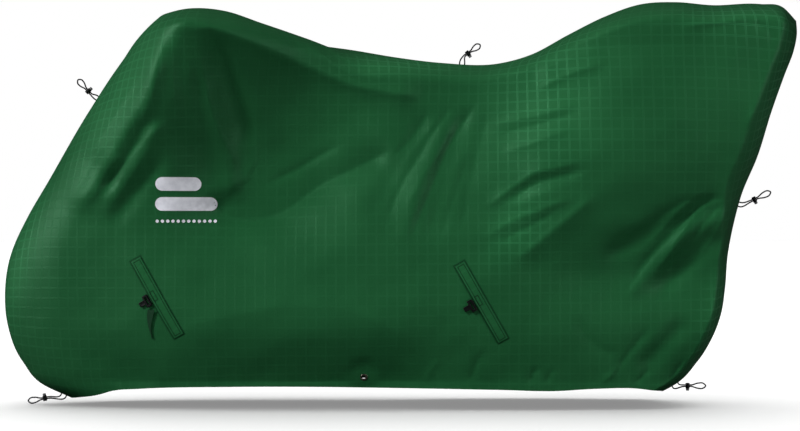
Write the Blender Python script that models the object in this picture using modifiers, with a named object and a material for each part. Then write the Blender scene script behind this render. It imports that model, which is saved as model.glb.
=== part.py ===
"""Bicycle cover: two side panels sewn along a front, top and rear seam, open below.

Metres, +Z up, +X towards the rear of the bicycle, -Y the near side. The origin is under the top
seam at mid length, where the bicycle holds the cover up. All outlines and folds are given as they
are seen square on from VIEW_DISTANCE away: how far along, and how high above the ground.
"""

import math
from collections import namedtuple

import bmesh
import bpy
import numpy as np
from mathutils import Matrix, Vector
from mathutils.bvhtree import BVHTree

# Driving dimensions.
ORIGIN_HEIGHT = 0.910  # the origin's height above the ground
VIEW_DISTANCE = 5.0  # from the middle plane to the eye that the side view belongs to
VIEW_HEIGHT = 0.50
CLOTH = 0.002
GAP = 0.0003  # between pieces that touch
HEM_BAND = 0.0585  # share of the height, from the hem up, that the hem band takes
BAND_GAP = 0.0007  # between band and panel, as a share of the height

# The perimeter seam and the hem.
EdgePoint = namedtuple("EdgePoint", "along height")
FRONT_EDGE = [
    EdgePoint(-0.869, 0.016),
    EdgePoint(-0.940, 0.048),
    EdgePoint(-0.999, 0.111),
    EdgePoint(-1.039, 0.207),
    EdgePoint(-1.047, 0.290),
    EdgePoint(-1.031, 0.397),
    EdgePoint(-0.988, 0.493),
    EdgePoint(-0.933, 0.588),
    EdgePoint(-0.822, 0.779),
    EdgePoint(-0.737, 0.906),
    EdgePoint(-0.689, 0.965),
    EdgePoint(-0.640, 0.998),
]
TOP_EDGE = [
    EdgePoint(-0.640, 0.998),
    EdgePoint(-0.540, 1.012),
    EdgePoint(-0.445, 1.003),
    EdgePoint(-0.350, 0.977),
    EdgePoint(-0.246, 0.955),
    EdgePoint(-0.127, 0.938),
    EdgePoint(0.000, 0.917),
    EdgePoint(0.110, 0.904),
    EdgePoint(0.265, 0.903),
    EdgePoint(0.350, 0.927),
    EdgePoint(0.445, 0.978),
    EdgePoint(0.541, 1.026),
    EdgePoint(0.636, 1.059),
    EdgePoint(0.731, 1.065),
    EdgePoint(0.827, 1.057),
    EdgePoint(0.954, 1.060),
    EdgePoint(1.018, 1.049),
    EdgePoint(1.050, 1.015),
]
REAR_EDGE = [
    EdgePoint(0.697, 0.034),
    EdgePoint(0.723, 0.048),
    EdgePoint(0.787, 0.111),
    EdgePoint(0.827, 0.175),
    EdgePoint(0.851, 0.239),
    EdgePoint(0.861, 0.302),
    EdgePoint(0.869, 0.397),
    EdgePoint(0.888, 0.493),
    EdgePoint(0.906, 0.557),
    EdgePoint(0.946, 0.652),
    EdgePoint(0.986, 0.779),
    EdgePoint(1.020, 0.874),
    EdgePoint(1.044, 0.938),
    EdgePoint(1.052, 0.985),
    EdgePoint(1.050, 1.015),
]
HEM_EDGE = [
    EdgePoint(-0.869, 0.016),
    EdgePoint(-0.805, 0.023),
    EdgePoint(-0.760, 0.035),
    EdgePoint(-0.690, 0.040),
    EdgePoint(-0.445, 0.045),
    EdgePoint(-0.212, 0.045),
    EdgePoint(0.000, 0.042),
    EdgePoint(0.265, 0.037),
    EdgePoint(0.413, 0.034),
    EdgePoint(0.520, 0.040),
    EdgePoint(0.636, 0.040),
    EdgePoint(0.668, 0.036),
    EdgePoint(0.697, 0.034),
]

# Half widths of the cover at stations along it and at heights above the ground. `turn` is how far
# below the top seam the cloth has turned down, and `crown` how far it is lifted just beside the seam.
WIDTH_HEIGHTS = [0.06, 0.20, 0.35, 0.50, 0.65, 0.80, 0.95]
Section = namedtuple("Section", "along hem h20 h35 h50 h65 h80 h95 turn crown")
SECTIONS = [
    Section(-1.05, 0.070, 0.090, 0.100, 0.100, 0.100, 0.120, 0.140, 0.050, 0.000),
    Section(-0.90, 0.090, 0.125, 0.140, 0.140, 0.140, 0.150, 0.170, 0.050, 0.000),
    Section(-0.75, 0.115, 0.160, 0.170, 0.165, 0.175, 0.200, 0.220, 0.060, 0.015),
    Section(-0.62, 0.135, 0.185, 0.190, 0.165, 0.190, 0.235, 0.262, 0.085, 0.044),
    Section(-0.50, 0.145, 0.200, 0.190, 0.135, 0.140, 0.190, 0.265, 0.090, 0.053),
    Section(-0.38, 0.148, 0.210, 0.195, 0.132, 0.115, 0.160, 0.240, 0.088, 0.049),
    Section(-0.25, 0.148, 0.213, 0.200, 0.142, 0.113, 0.132, 0.185, 0.085, 0.032),
    Section(-0.12, 0.148, 0.213, 0.202, 0.172, 0.138, 0.125, 0.150, 0.082, 0.000),
    Section(0.00, 0.152, 0.212, 0.202, 0.176, 0.152, 0.138, 0.150, 0.070, 0.000),
    Section(0.13, 0.160, 0.210, 0.205, 0.180, 0.162, 0.136, 0.135, 0.062, 0.000),
    Section(0.26, 0.165, 0.205, 0.205, 0.191, 0.181, 0.150, 0.130, 0.058, 0.000),
    Section(0.40, 0.165, 0.200, 0.186, 0.214, 0.224, 0.190, 0.155, 0.060, 0.000),
    Section(0.55, 0.155, 0.190, 0.164, 0.216, 0.244, 0.228, 0.190, 0.060, 0.000),
    Section(0.70, 0.135, 0.175, 0.152, 0.202, 0.237, 0.235, 0.205, 0.050, 0.000),
    Section(0.85, 0.110, 0.155, 0.150, 0.182, 0.215, 0.225, 0.205, 0.045, 0.000),
    Section(1.05, 0.100, 0.130, 0.140, 0.160, 0.190, 0.205, 0.190, 0.040, 0.000),
]
CROWN_REACH = 0.025  # the crown is highest this far below the seam
CROWN_FADE = 0.28  # and gone this much lower
FRONT_TURN = 0.15  # how far inside the front edge the cloth has turned to face the side
FRONT_CROWN_TURN = 0.04  # the same for the crown's lift
REAR_TURN_LOW = 0.026  # the same at the rear, below the first height and above the second
REAR_TURN_HIGH = 0.052
REAR_TURN_HEIGHTS = (0.40, 0.62)

# Main folds of the near side: a positive height stands out, a negative one goes in.
Fold = namedtuple("Fold", "start middle end width height")
NEAR_FOLDS = [
    # Front slope, fanning down and forward from the handlebar end.
    Fold((-0.64, 0.93), (-0.70, 0.78), (-0.87, 0.50), 0.040, 0.013),
    Fold((-0.66, 0.78), (-0.72, 0.67), (-0.80, 0.55), 0.024, -0.012),
    Fold((-0.62, 0.76), (-0.70, 0.64), (-0.80, 0.49), 0.026, 0.010),
    Fold((-0.62, 0.67), (-0.71, 0.55), (-0.78, 0.45), 0.026, -0.010),
    # Hollow under the handlebar, and the crisp valley that ends it below.
    Fold((-0.50, 0.93), (-0.45, 0.80), (-0.40, 0.67), 0.026, -0.013),
    Fold((-0.52, 0.85), (-0.48, 0.70), (-0.43, 0.52), 0.026, 0.010),
    Fold((-0.50, 0.50), (-0.20, 0.57), (0.08, 0.78), 0.028, -0.014),
    # Fan below the saddle.
    Fold((0.09, 0.78), (0.00, 0.64), (-0.09, 0.47), 0.026, -0.010),
    Fold((0.14, 0.79), (0.07, 0.63), (0.00, 0.40), 0.026, 0.010),
    Fold((0.18, 0.80), (0.13, 0.64), (0.07, 0.42), 0.026, -0.010),
    # Steps up to the load behind the saddle.
    Fold((0.35, 0.86), (0.44, 0.89), (0.55, 0.92), 0.026, 0.009),
    Fold((0.27, 0.75), (0.36, 0.77), (0.47, 0.81), 0.026, 0.009),
    Fold((0.27, 0.55), (0.38, 0.60), (0.50, 0.64), 0.026, -0.013),
    Fold((0.25, 0.51), (0.36, 0.55), (0.46, 0.58), 0.026, 0.008),
    # Pulled folds from the rear drawcord.
    Fold((0.87, 0.56), (0.68, 0.46), (0.52, 0.38), 0.026, -0.011),
    Fold((0.87, 0.52), (0.71, 0.40), (0.58, 0.27), 0.026, 0.010),
    Fold((0.87, 0.48), (0.77, 0.38), (0.66, 0.27), 0.026, -0.011),
    Fold((0.77, 0.23), (0.70, 0.16), (0.63, 0.08), 0.026, -0.010),
]

# Resolution of a panel: cells round the front edge, along the middle, round the rear edge, up the
# middle, round the top edge.
Cells = namedtuple("Cells", "front along rear up top")
NEAR_CELLS = Cells(front=5, along=56, rear=4, up=22, top=4)
FAR_CELLS = Cells(front=5, along=26, rear=4, up=16, top=4)
BAND_ROWS = 4
FRONT_SHARE = 0.068  # shares of a panel's length and height that its closer cells take at each end
REAR_SHARE = 0.032
LOW_SHARE = 0.02
TOP_SHARE = 0.06

# Eyelet, in the hem band.
EYELET_ALONG = -0.096
EYELET_HEIGHT = 0.071
EYELET_HOLE = 0.005
EYELET_BARREL = 0.0061
EYELET_CUT = 0.0065
EYELET_FLANGE = 0.00925
EYELET_FLANGE_THICK = 0.0012
EYELET_STEPS = 16
EYELET_FLAT = 0.048  # the cloth is flat this far around the eyelet
EYELET_FLAT_END = 0.095
EYELET_LEAN = 0.36  # how far the flat cloth comes out for each metre that it rises

# Strap flaps: strips that slant down towards the rear.
FLAP_LENGTH = 0.226
FLAP_WIDTH = 0.0285
FLAP_SLANT = math.radians(60.3)
FLAP_OFF = 0.0006  # the sewn edge's distance from the panel
FLAP_LIFT = 0.0052  # the free edge's, at mid length
Flap = namedtuple("Flap", "name along height")
FLAPS = [Flap("front", -0.644, 0.2815), Flap("rear", 0.2162, 0.2692)]
FLAP_CELLS_LONG = 16
FLAP_CELLS_WIDE = 3

# Webbing and buckle halves, in the flap's own directions from its centre.
STRAP_WIDTH = 0.020
STRAP_THICK = 0.0016
STRAP_START = 0.006  # under the flap
STRAP_CELLS_LONG = 3
STRAP_CELLS_WIDE = 4
BUCKLE_OFFSET = -0.005  # along the flap
BUCKLE_START = 0.0185
BUCKLE_BAR_LONG = 0.032
BUCKLE_BAR_WIDE = 0.014
BUCKLE_SLOT_LONG = 0.022
BUCKLE_SLOT_WIDE = 0.004
BUCKLE_TONGUE_LONG = 0.016
BUCKLE_TONGUE_WIDE = 0.0125
BUCKLE_THICK = 0.0055
BUCKLE_EDGE = 0.0022  # its cut corners
BUCKLE_OFF = 0.0005
TAIL_LENGTH = 0.074
TAIL_WIDTH = 0.017
TAIL_TIP_WIDTH = 0.005
TAIL_START = 0.002  # its top beyond the end of the buckle bar, along and down
TAIL_DROP = 0.0085
TAIL_SWAY = 0.005
TAIL_OFF = 0.0045  # its top's distance from the panel
TAIL_TWIST = 0.001
TAIL_CELLS = 8

# Drawcord loops, each through a cord lock, out of the perimeter seam.
CORD_RADIUS = 0.0019
CORD_POINTS = 24
CORD_OFF = 0.0007  # the strand's end from the seam
CORD_OUT = 0.0040  # the strand leaves the seam at right angles for this far
LOCK_STRAND = 0.0021  # a strand's centre from the lock's middle
LOOP_HALF_WIDTH = 0.0068
LOOP_NECK = 0.0105  # from the lock's middle to where the loop opens
Loop = namedtuple("Loop", "name edge share spread lock tip")
LOOPS = [
    Loop("front", "front", 0.809, 0.0115, (-0.826, 0.829), (-0.853, 0.859)),
    Loop("top", "top", 0.476, 0.0135, (0.180, 0.929), (0.212, 0.952)),
    Loop("rear", "rear", 0.505, 0.0115, (0.939, 0.542), (0.982, 0.562)),
    Loop("front_hem", "front", 0.0095, 0.0140, (-0.941, 0.0155), (-0.985, 0.008)),
    Loop("rear_hem", "rear", 0.018, 0.0180, (0.762, 0.0485), (0.810, 0.0485)),
]
LOCK_RADIUS = 0.0055
LOCK_LENGTH = 0.0145
LOCK_EDGE = 0.0012
LOCK_SLOT_LONG = 0.0090
LOCK_SLOT_WIDE = 0.0046
LOCK_STEPS = 12
BUTTON_RADIUS = 0.0042
BUTTON_LENGTH = 0.0052


def to_world(along, height, out):
    """The point seen at `along` and `height` that stands `out` in front of the middle plane."""
    nearer = (VIEW_DISTANCE - out) / VIEW_DISTANCE
    x = along * nearer
    z = VIEW_HEIGHT + (height - VIEW_HEIGHT) * nearer - ORIGIN_HEIGHT
    return np.stack(np.broadcast_arrays(x, -out, z), axis=-1)


def cubic(knots, values, at):
    """A smooth curve through `values` at `knots`, read at every place in `at`."""
    knots = np.asarray(knots, float)
    values = np.asarray(values, float)
    steps = np.diff(knots)
    chords = np.diff(values) / steps
    inner = (chords[:-1] * steps[1:] + chords[1:] * steps[:-1]) / (steps[1:] + steps[:-1])
    slopes = np.concatenate([chords[:1], inner, chords[-1:]])
    at = np.clip(at, knots[0], knots[-1])
    cell = np.clip(np.searchsorted(knots, at, side="right") - 1, 0, len(steps) - 1)
    f = (at - knots[cell]) / steps[cell]
    return (
        values[cell] * (2 * f**3 - 3 * f**2 + 1)
        + values[cell + 1] * (3 * f**2 - 2 * f**3)
        + steps[cell] * (slopes[cell] * (f**3 - 2 * f**2 + f) + slopes[cell + 1] * (f**3 - f**2))
    )


def side_edge(edge, t):
    """(along, height) of the front or the rear edge at shares of its height."""
    along, height = np.array(edge).T
    at = height[0] + t * (height[-1] - height[0])
    return cubic(height, along, at), at


def long_edge(edge, s):
    """(along, height) of the top seam or the hem at shares of its length."""
    along, height = np.array(edge).T
    at = along[0] + s * (along[-1] - along[0])
    return at, cubic(along, height, at)


def side_view(s, t):
    """(along, height) of a panel's point: s runs front to rear, t from the hem to the top seam."""
    along = (1 - s) * side_edge(FRONT_EDGE, t)[0] + s * side_edge(REAR_EDGE, t)[0]
    height = (1 - t) * long_edge(HEM_EDGE, s)[1] + t * long_edge(TOP_EDGE, s)[1]
    return along, height


def round_over(distance, reach):
    """0 at an edge, 1 from `reach` inside it, along a quarter of an ellipse."""
    return np.sqrt(np.clip(1 - (1 - np.clip(distance / reach, 0, 1)) ** 2, 0, 1))


def ease(x):
    x = np.clip(x, 0, 1)
    return x * x * (3 - 2 * x)


def section_value(along, column):
    return cubic([row.along for row in SECTIONS], [getattr(row, column) for row in SECTIONS], along)


def open_width(along, height):
    """The half width away from the edges: the sections' columns, smoothly joined."""
    columns = [section_value(along, name) for name in Section._fields[1:8]]
    widths = np.stack(columns)
    knots = np.array(WIDTH_HEIGHTS)
    steps = np.diff(knots).reshape(-1, *[1] * (widths.ndim - 1))
    chords = np.diff(widths, axis=0) / steps
    inner = (chords[:-1] * steps[1:] + chords[1:] * steps[:-1]) / (steps[1:] + steps[:-1])
    slopes = np.concatenate([chords[:1], inner, chords[-1:]])
    at = np.clip(height, knots[0], knots[-1])
    cell = np.clip(np.searchsorted(knots, at, side="right") - 1, 0, len(knots) - 2)
    span = np.diff(knots)[cell]
    f = (at - knots[cell]) / span

    def pick(table, index):
        return np.take_along_axis(table, index[None], axis=0)[0]

    return (
        pick(widths, cell) * (2 * f**3 - 3 * f**2 + 1)
        + pick(widths, cell + 1) * (3 * f**2 - 2 * f**3)
        + span * pick(slopes, cell) * (f**3 - 2 * f**2 + f)
        + span * pick(slopes, cell + 1) * (f**3 - f**2)
    )


def fold_height(along, height, folds):
    """How far the folds move the cloth out at each point of the side view."""
    total = np.zeros_like(along)
    pieces = 8
    for fold in folds:
        start, middle, end = (np.array(p) for p in (fold.start, fold.middle, fold.end))
        bend = 2 * middle - (start + end) / 2
        f = np.linspace(0, 1, pieces + 1)[:, None]
        route = (1 - f) ** 2 * start + 2 * f * (1 - f) * bend + f**2 * end
        nearest = np.full_like(along, np.inf)
        share = np.zeros_like(along)
        for i, (a, b) in enumerate(zip(route[:-1], route[1:])):
            step = b - a
            g = ((along - a[0]) * step[0] + (height - a[1]) * step[1]) / (step @ step)
            g = np.clip(g, 0, 1)
            distance = np.hypot(along - a[0] - g * step[0], height - a[1] - g * step[1])
            closer = distance < nearest
            nearest = np.where(closer, distance, nearest)
            share = np.where(closer, (i + g) / pieces, share)
        taper = ease(share * 4) * ease((1 - share) * 4)
        total += fold.height * taper * np.exp(-((nearest / fold.width) ** 2))
    return total


def cloth_point(s, t, folds):
    """World points of the near panel's outer face."""
    s, t = np.broadcast_arrays(np.asarray(s, float), np.asarray(t, float))
    along, height = side_view(s, t)
    front, rear, top = side_edge(FRONT_EDGE, t), side_edge(REAR_EDGE, t), long_edge(TOP_EDGE, s)
    from_front = np.hypot(along - front[0], height - front[1])
    from_rear = np.hypot(along - rear[0], height - rear[1])
    from_top = np.hypot(along - top[0], height - top[1])
    turn = section_value(along, "turn")
    low, high = REAR_TURN_HEIGHTS
    rear_turn = REAR_TURN_LOW + (REAR_TURN_HIGH - REAR_TURN_LOW) * ease((height - low) / (high - low))
    rounding = (
        round_over(from_front, FRONT_TURN) * round_over(from_rear, rear_turn) * round_over(from_top, turn)
    )
    out = (open_width(along, height) + fold_height(along, height, folds)) * rounding
    flat_out = open_width(np.array(EYELET_ALONG), np.array(EYELET_HEIGHT))
    flat_out = flat_out + EYELET_LEAN * (height - EYELET_HEIGHT)
    from_eyelet = np.hypot(along - EYELET_ALONG, height - EYELET_HEIGHT)
    flat = 1 - ease((from_eyelet - EYELET_FLAT) / (EYELET_FLAT_END - EYELET_FLAT))
    out = out * (1 - flat) + flat_out * flat
    lift = section_value(along, "crown") * ease(from_top / CROWN_REACH)
    lift *= (1 - ease((from_top - CROWN_REACH) / CROWN_FADE)) * round_over(from_front, FRONT_CROWN_TURN)
    return to_world(along, height + lift, out + GAP / 2)


def graded(low_reach, low_cells, cells, high_reach, high_cells, start=0.0):
    """Shares from `start` to 1, closer together towards the ends that turn over."""
    low = [start + low_reach * (1 - math.cos(math.pi / 2 * i / low_cells)) for i in range(low_cells)]
    high = [1 - high_reach * (1 - math.cos(math.pi / 2 * i / high_cells)) for i in range(high_cells)]
    middle = np.linspace(start + low_reach, 1 - high_reach, cells + 1)
    return np.concatenate([low, middle, high[::-1]])


def seam_outward(s, t):
    """Outward directions, in the middle plane, at the points of the perimeter seam."""
    small = 1e-3
    total = np.zeros((*s.shape, 3))
    low_t, high_t = np.clip(t - small, 0, 1), np.clip(t + small, 0, 1)
    low_s, high_s = np.clip(s - small, 0, 1), np.clip(s + small, 0, 1)
    runs = [
        (s == 0, side_edge(FRONT_EDGE, low_t), side_edge(FRONT_EDGE, high_t)),
        (t == 1, long_edge(TOP_EDGE, low_s), long_edge(TOP_EDGE, high_s)),
        (s == 1, side_edge(REAR_EDGE, high_t), side_edge(REAR_EDGE, low_t)),
    ]
    for on_run, before, after in runs:
        step = to_world(*after, 0) - to_world(*before, 0)
        normal = np.stack([-step[..., 2], np.zeros_like(s), step[..., 0]], axis=-1)
        normal /= np.linalg.norm(normal, axis=-1, keepdims=True)
        total += np.where(on_run[..., None], normal, 0)
    return total / np.maximum(np.linalg.norm(total, axis=-1, keepdims=True), 1e-9)


def cloth_grids(columns, rows, folds):
    """Outer and inner grids of points, one cloth apart, for a part of the near panel."""
    s, t = np.meshgrid(columns, rows)
    outer = cloth_point(s, t, folds)
    small = 1e-4
    low_s, high_s = np.clip(s - small, 0, 1), np.clip(s + small, 0, 1)
    low_t, high_t = np.clip(t - small, 0, 1), np.clip(t + small, 0, 1)
    across = cloth_point(high_s, t, folds) - cloth_point(low_s, t, folds)
    upward = cloth_point(s, high_t, folds) - cloth_point(s, low_t, folds)
    normals = np.cross(across, upward)
    normals /= np.linalg.norm(normals, axis=-1, keepdims=True)
    on_seam = (s == 0) | (s == 1) | (t == 1)
    normals = np.where(on_seam[..., None], seam_outward(s, t), normals)
    return outer, outer - CLOTH * normals


def mirrored(grids):
    return [grid * np.array([1, -1, 1]) for grid in grids]


def new_material(name, colour, roughness, metallic=0.0):
    material = bpy.data.materials.new(name)
    material.use_nodes = True
    shader = material.node_tree.nodes["Principled BSDF"]
    shader.inputs["Base Color"].default_value = (*colour, 1)
    shader.inputs["Roughness"].default_value = roughness
    shader.inputs["Metallic"].default_value = metallic
    return material


def place(name, data, material, collection, matrix=None):
    obj = bpy.data.objects.new(name, data)
    obj.data.materials.append(material)
    obj.matrix_world = matrix or Matrix.Identity(4)
    collection.objects.link(obj)
    return obj


def cloth_solid(name, outer, inner, material, collection):
    """A closed solid between two grids of points, with a wall all round.

    Both faces of a twisted cell are split along the same diagonal, so they keep their distance.
    """
    rows, columns = outer.shape[:2]
    shape = bmesh.new()
    far = [shape.verts.new(p) for p in outer.reshape(-1, 3)]
    near = [shape.verts.new(p) for p in inner.reshape(-1, 3)]
    for i in range(rows - 1):
        for j in range(columns - 1):
            a, b = i * columns + j, i * columns + j + 1
            c, d = b + columns, a + columns
            if (far[a].co - far[c].co).length < (far[b].co - far[d].co).length:
                cells = [(a, b, c), (a, c, d)]
            else:
                cells = [(a, b, d), (b, c, d)]
            for cell in cells:
                shape.faces.new([far[k] for k in cell])
                shape.faces.new([near[k] for k in reversed(cell)])
    rim = [(0, j) for j in range(columns)] + [(i, columns - 1) for i in range(1, rows)]
    rim += [(rows - 1, j) for j in range(columns - 2, -1, -1)] + [(i, 0) for i in range(rows - 2, 0, -1)]
    for (i, j), (k, m) in zip(rim, rim[1:] + rim[:1]):
        a, b = i * columns + j, k * columns + m
        shape.faces.new([far[b], far[a], near[a], near[b]])
    bmesh.ops.recalc_face_normals(shape, faces=shape.faces[:])
    mesh = bpy.data.meshes.new(name)
    shape.to_mesh(mesh)
    shape.free()
    mesh.shade_smooth()
    mesh.set_sharp_from_angle(angle=math.radians(50))
    return place(name, mesh, material, collection)


def turned(name, profile, closed, steps, material, collection, matrix):
    """A solid turned around its own Z from (radius, height) points, which meet again or end on Z."""
    mesh = bpy.data.meshes.new(name)
    edges = [(i, i + 1) for i in range(len(profile) - 1)]
    if closed:
        edges.append((len(profile) - 1, 0))
    mesh.from_pydata([(radius, 0, height) for radius, height in profile], edges, [])
    obj = place(name, mesh, material, collection, matrix)
    screw = obj.modifiers.new("turn", "SCREW")
    screw.steps = screw.render_steps = steps
    screw.use_merge_vertices = True
    screw.merge_threshold = 0.00001
    screw.use_smooth_shade = True
    return obj


def frame_matrix(across, upward, centre):
    """A placing matrix with the local X and Y along the given directions."""
    x = Vector(across).normalized()
    z = x.cross(Vector(upward)).normalized()
    y = z.cross(x)
    matrix = Matrix((x, y, z)).transposed().to_4x4()
    matrix.translation = Vector(centre)
    return matrix


def cut(obj, cutter, cutters):
    """Takes the cutter's shape out of obj, with a live modifier."""
    cutter.hide_render = True
    cutter.display_type = "WIRE"
    for owner in cutter.users_collection:
        owner.objects.unlink(cutter)
    cutters.objects.link(cutter)
    boolean = obj.modifiers.new("cut", "BOOLEAN")
    boolean.operation = "DIFFERENCE"
    boolean.object = cutter


def box_cutter(name, size, material, collection, matrix):
    mesh = bpy.data.meshes.new(name)
    shape = bmesh.new()
    bmesh.ops.create_cube(shape, size=1)
    bmesh.ops.scale(shape, vec=size, verts=shape.verts[:])
    shape.to_mesh(mesh)
    shape.free()
    return place(name, mesh, material, collection, matrix)


def build_panels(cloth, collection):
    """Two sides of two pieces each: the panel and the hem band below it."""
    band = np.linspace(0, HEM_BAND, BAND_ROWS + 1)
    for side, cells, folds in (("near", NEAR_CELLS, NEAR_FOLDS), ("far", FAR_CELLS, [])):
        columns = graded(FRONT_SHARE, cells.front, cells.along, REAR_SHARE, cells.rear)
        rows = graded(LOW_SHARE, 1, cells.up, TOP_SHARE, cells.top, HEM_BAND + BAND_GAP)
        panel = cloth_grids(columns, rows, folds)
        hem = cloth_grids(columns, band, folds)
        if side == "far":
            panel, hem = mirrored(panel), mirrored(hem)
        cloth_solid(f"side_panel_{side}", *panel, cloth, collection)
        cloth_solid(f"hem_band_{side}", *hem, cloth, collection)


def build_eyelets(metal, collection, cutters):
    """A spool through each hem band, square to the leaning cloth, its flanges just off both faces."""
    out = float(open_width(np.array(EYELET_ALONG), np.array(EYELET_HEIGHT))) + GAP / 2
    inside = CLOTH / 2 + GAP
    outside = inside + EYELET_FLANGE_THICK
    edge = EYELET_FLANGE_THICK / 3
    profile = [
        (EYELET_HOLE + edge, outside),
        (EYELET_FLANGE - edge, outside),
        (EYELET_FLANGE, inside),
        (EYELET_BARREL, inside),
        (EYELET_BARREL, -inside),
        (EYELET_FLANGE, -inside),
        (EYELET_FLANGE - edge, -outside),
        (EYELET_HOLE + edge, -outside),
        (EYELET_HOLE, -inside),
        (EYELET_HOLE, inside),
    ]
    for side, sign in (("near", -1), ("far", 1)):
        x, y, z = to_world(EYELET_ALONG, EYELET_HEIGHT, out)
        lean = math.atan(EYELET_LEAN)
        inward = Vector((0, -sign * math.cos(lean), math.sin(lean)))
        centre = Vector((x, sign * out, z)) + inward * CLOTH / 2
        matrix = Matrix.Translation(centre) @ Matrix.Rotation(sign * (math.pi / 2 - lean), 4, "X")
        turned(f"eyelet_{side}", profile, True, EYELET_STEPS, metal, collection, matrix)
        mesh = bpy.data.meshes.new(f"eyelet_cut_{side}")
        shape = bmesh.new()
        bmesh.ops.create_cone(
            shape,
            cap_ends=True,
            segments=EYELET_STEPS,
            radius1=EYELET_CUT,
            radius2=EYELET_CUT,
            depth=CLOTH * 10,
        )
        shape.to_mesh(mesh)
        shape.free()
        cutter = place(mesh.name, mesh, metal, collection, matrix)
        cut(bpy.data.objects[f"hem_band_{side}"], cutter, cutters)


def flap_frame(flap):
    """The flap's centre, and its directions: down along it, then across to its free edge."""
    out = float(open_width(np.array(flap.along), np.array(flap.height)))
    centre = Vector(to_world(flap.along, flap.height, out))
    down = Vector((math.cos(FLAP_SLANT), 0, -math.sin(FLAP_SLANT)))
    free = Vector((-math.sin(FLAP_SLANT), 0, -math.cos(FLAP_SLANT)))
    return centre, down, free


def panel_tree():
    panel = bpy.data.objects["side_panel_near"]
    return BVHTree.FromPolygons(
        [v.co for v in panel.data.vertices], [list(p.vertices) for p in panel.data.polygons]
    )


def on_panel(tree, point, off):
    """The point moved along Y to stand `off` in front of the near panel's outer face."""
    hit, normal, _, _ = tree.ray_cast(Vector((point.x, -1, point.z)), Vector((0, 1, 0)))
    return Vector((point.x, hit.y - off / max(0.5, abs(normal.y)), point.z))


def flap_height(length_share, width_share):
    """How far a flap stands off the panel: most at the middle of its free edge."""
    bulge = math.sin(math.pi * min(1, max(0, length_share)))
    return FLAP_OFF + FLAP_LIFT * bulge * width_share**2


def build_flaps(tree, cloth, collection):
    """Strips sewn on along one edge, whose other edge stands off the panel."""
    for flap in FLAPS:
        centre, down, free = flap_frame(flap)
        outer = np.zeros((FLAP_CELLS_LONG + 1, FLAP_CELLS_WIDE + 1, 3))
        inner = outer.copy()
        for i in range(FLAP_CELLS_LONG + 1):
            for j in range(FLAP_CELLS_WIDE + 1):
                f, g = i / FLAP_CELLS_LONG, j / FLAP_CELLS_WIDE
                point = centre + down * (f - 0.5) * FLAP_LENGTH + free * (g - 0.5) * FLAP_WIDTH
                off = flap_height(f, g)
                inner[i, j] = on_panel(tree, point, off)
                outer[i, j] = on_panel(tree, point, off + CLOTH)
        cloth_solid(f"strap_flap_{flap.name}", outer, inner, cloth, collection)


def build_straps(tree, webbing, collection):
    """A stub of webbing from under each flap to its buckle half."""
    end = BUCKLE_START - GAP
    for flap in FLAPS:
        centre, down, free = flap_frame(flap)
        outer = np.zeros((STRAP_CELLS_LONG + 1, STRAP_CELLS_WIDE + 1, 3))
        inner = outer.copy()
        for i in range(STRAP_CELLS_LONG + 1):
            for j in range(STRAP_CELLS_WIDE + 1):
                length = STRAP_START + (end - STRAP_START) * i / STRAP_CELLS_LONG
                width = BUCKLE_OFFSET + STRAP_WIDTH * (j / STRAP_CELLS_WIDE - 0.5)
                point = centre + free * length + down * width
                inner[i, j] = on_panel(tree, point, BUCKLE_OFF)
                outer[i, j] = on_panel(tree, point, BUCKLE_OFF + STRAP_THICK)
        cloth_solid(f"strap_{flap.name}", outer, inner, webbing, collection)


def buckle_outline():
    """The buckle half's outline: a bar with a tongue on its far side; Y points to the tongue's tip."""
    bar, wide, edge = BUCKLE_BAR_LONG / 2, BUCKLE_BAR_WIDE, BUCKLE_EDGE
    tongue, reach = BUCKLE_TONGUE_WIDE / 2, wide + BUCKLE_TONGUE_LONG
    return [
        (-bar + edge, 0),
        (bar - edge, 0),
        (bar, edge),
        (bar, wide - edge),
        (bar - edge, wide),
        (tongue, wide),
        (tongue, reach - 2 * edge),
        (tongue - edge, reach),
        (-tongue + edge, reach),
        (-tongue, reach - 2 * edge),
        (-tongue, wide),
        (-bar + edge, wide),
        (-bar, wide - edge),
        (-bar, edge),
    ]


def build_buckles(tree, plastic, collection):
    """A T-shaped plate with a slot, flat on the panel beside each flap's free edge."""
    for flap in FLAPS:
        centre, down, free = flap_frame(flap)
        base = centre + free * BUCKLE_START + down * BUCKLE_OFFSET
        reach = BUCKLE_BAR_WIDE + BUCKLE_TONGUE_LONG
        start, tip = on_panel(tree, base, 0), on_panel(tree, base + free * reach, 0)
        high = on_panel(tree, base - down * BUCKLE_BAR_LONG / 2, 0)
        low = on_panel(tree, base + down * BUCKLE_BAR_LONG / 2, 0)
        matrix = frame_matrix(high - low, tip - start, start)
        out = matrix.to_3x3() @ Vector((0, 0, 1))
        matrix.translation = start + out * (BUCKLE_OFF * 2 + BUCKLE_THICK / 2)
        curve = bpy.data.curves.new(f"buckle_{flap.name}", "CURVE")
        curve.dimensions = "2D"
        curve.fill_mode = "BOTH"
        curve.extrude = BUCKLE_THICK / 2
        slot = BUCKLE_SLOT_LONG / 2
        near = (BUCKLE_BAR_WIDE - BUCKLE_SLOT_WIDE) / 2
        far = near + BUCKLE_SLOT_WIDE
        hole = [(-slot, near), (slot, near), (slot, far), (-slot, far)]
        for loop in (buckle_outline(), hole):
            spline = curve.splines.new("POLY")
            spline.points.add(len(loop) - 1)
            for point, (x, y) in zip(spline.points, loop):
                point.co = (x, y, 0, 1)
            spline.use_cyclic_u = True
        place(curve.name, curve, plastic, collection, matrix)


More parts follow.
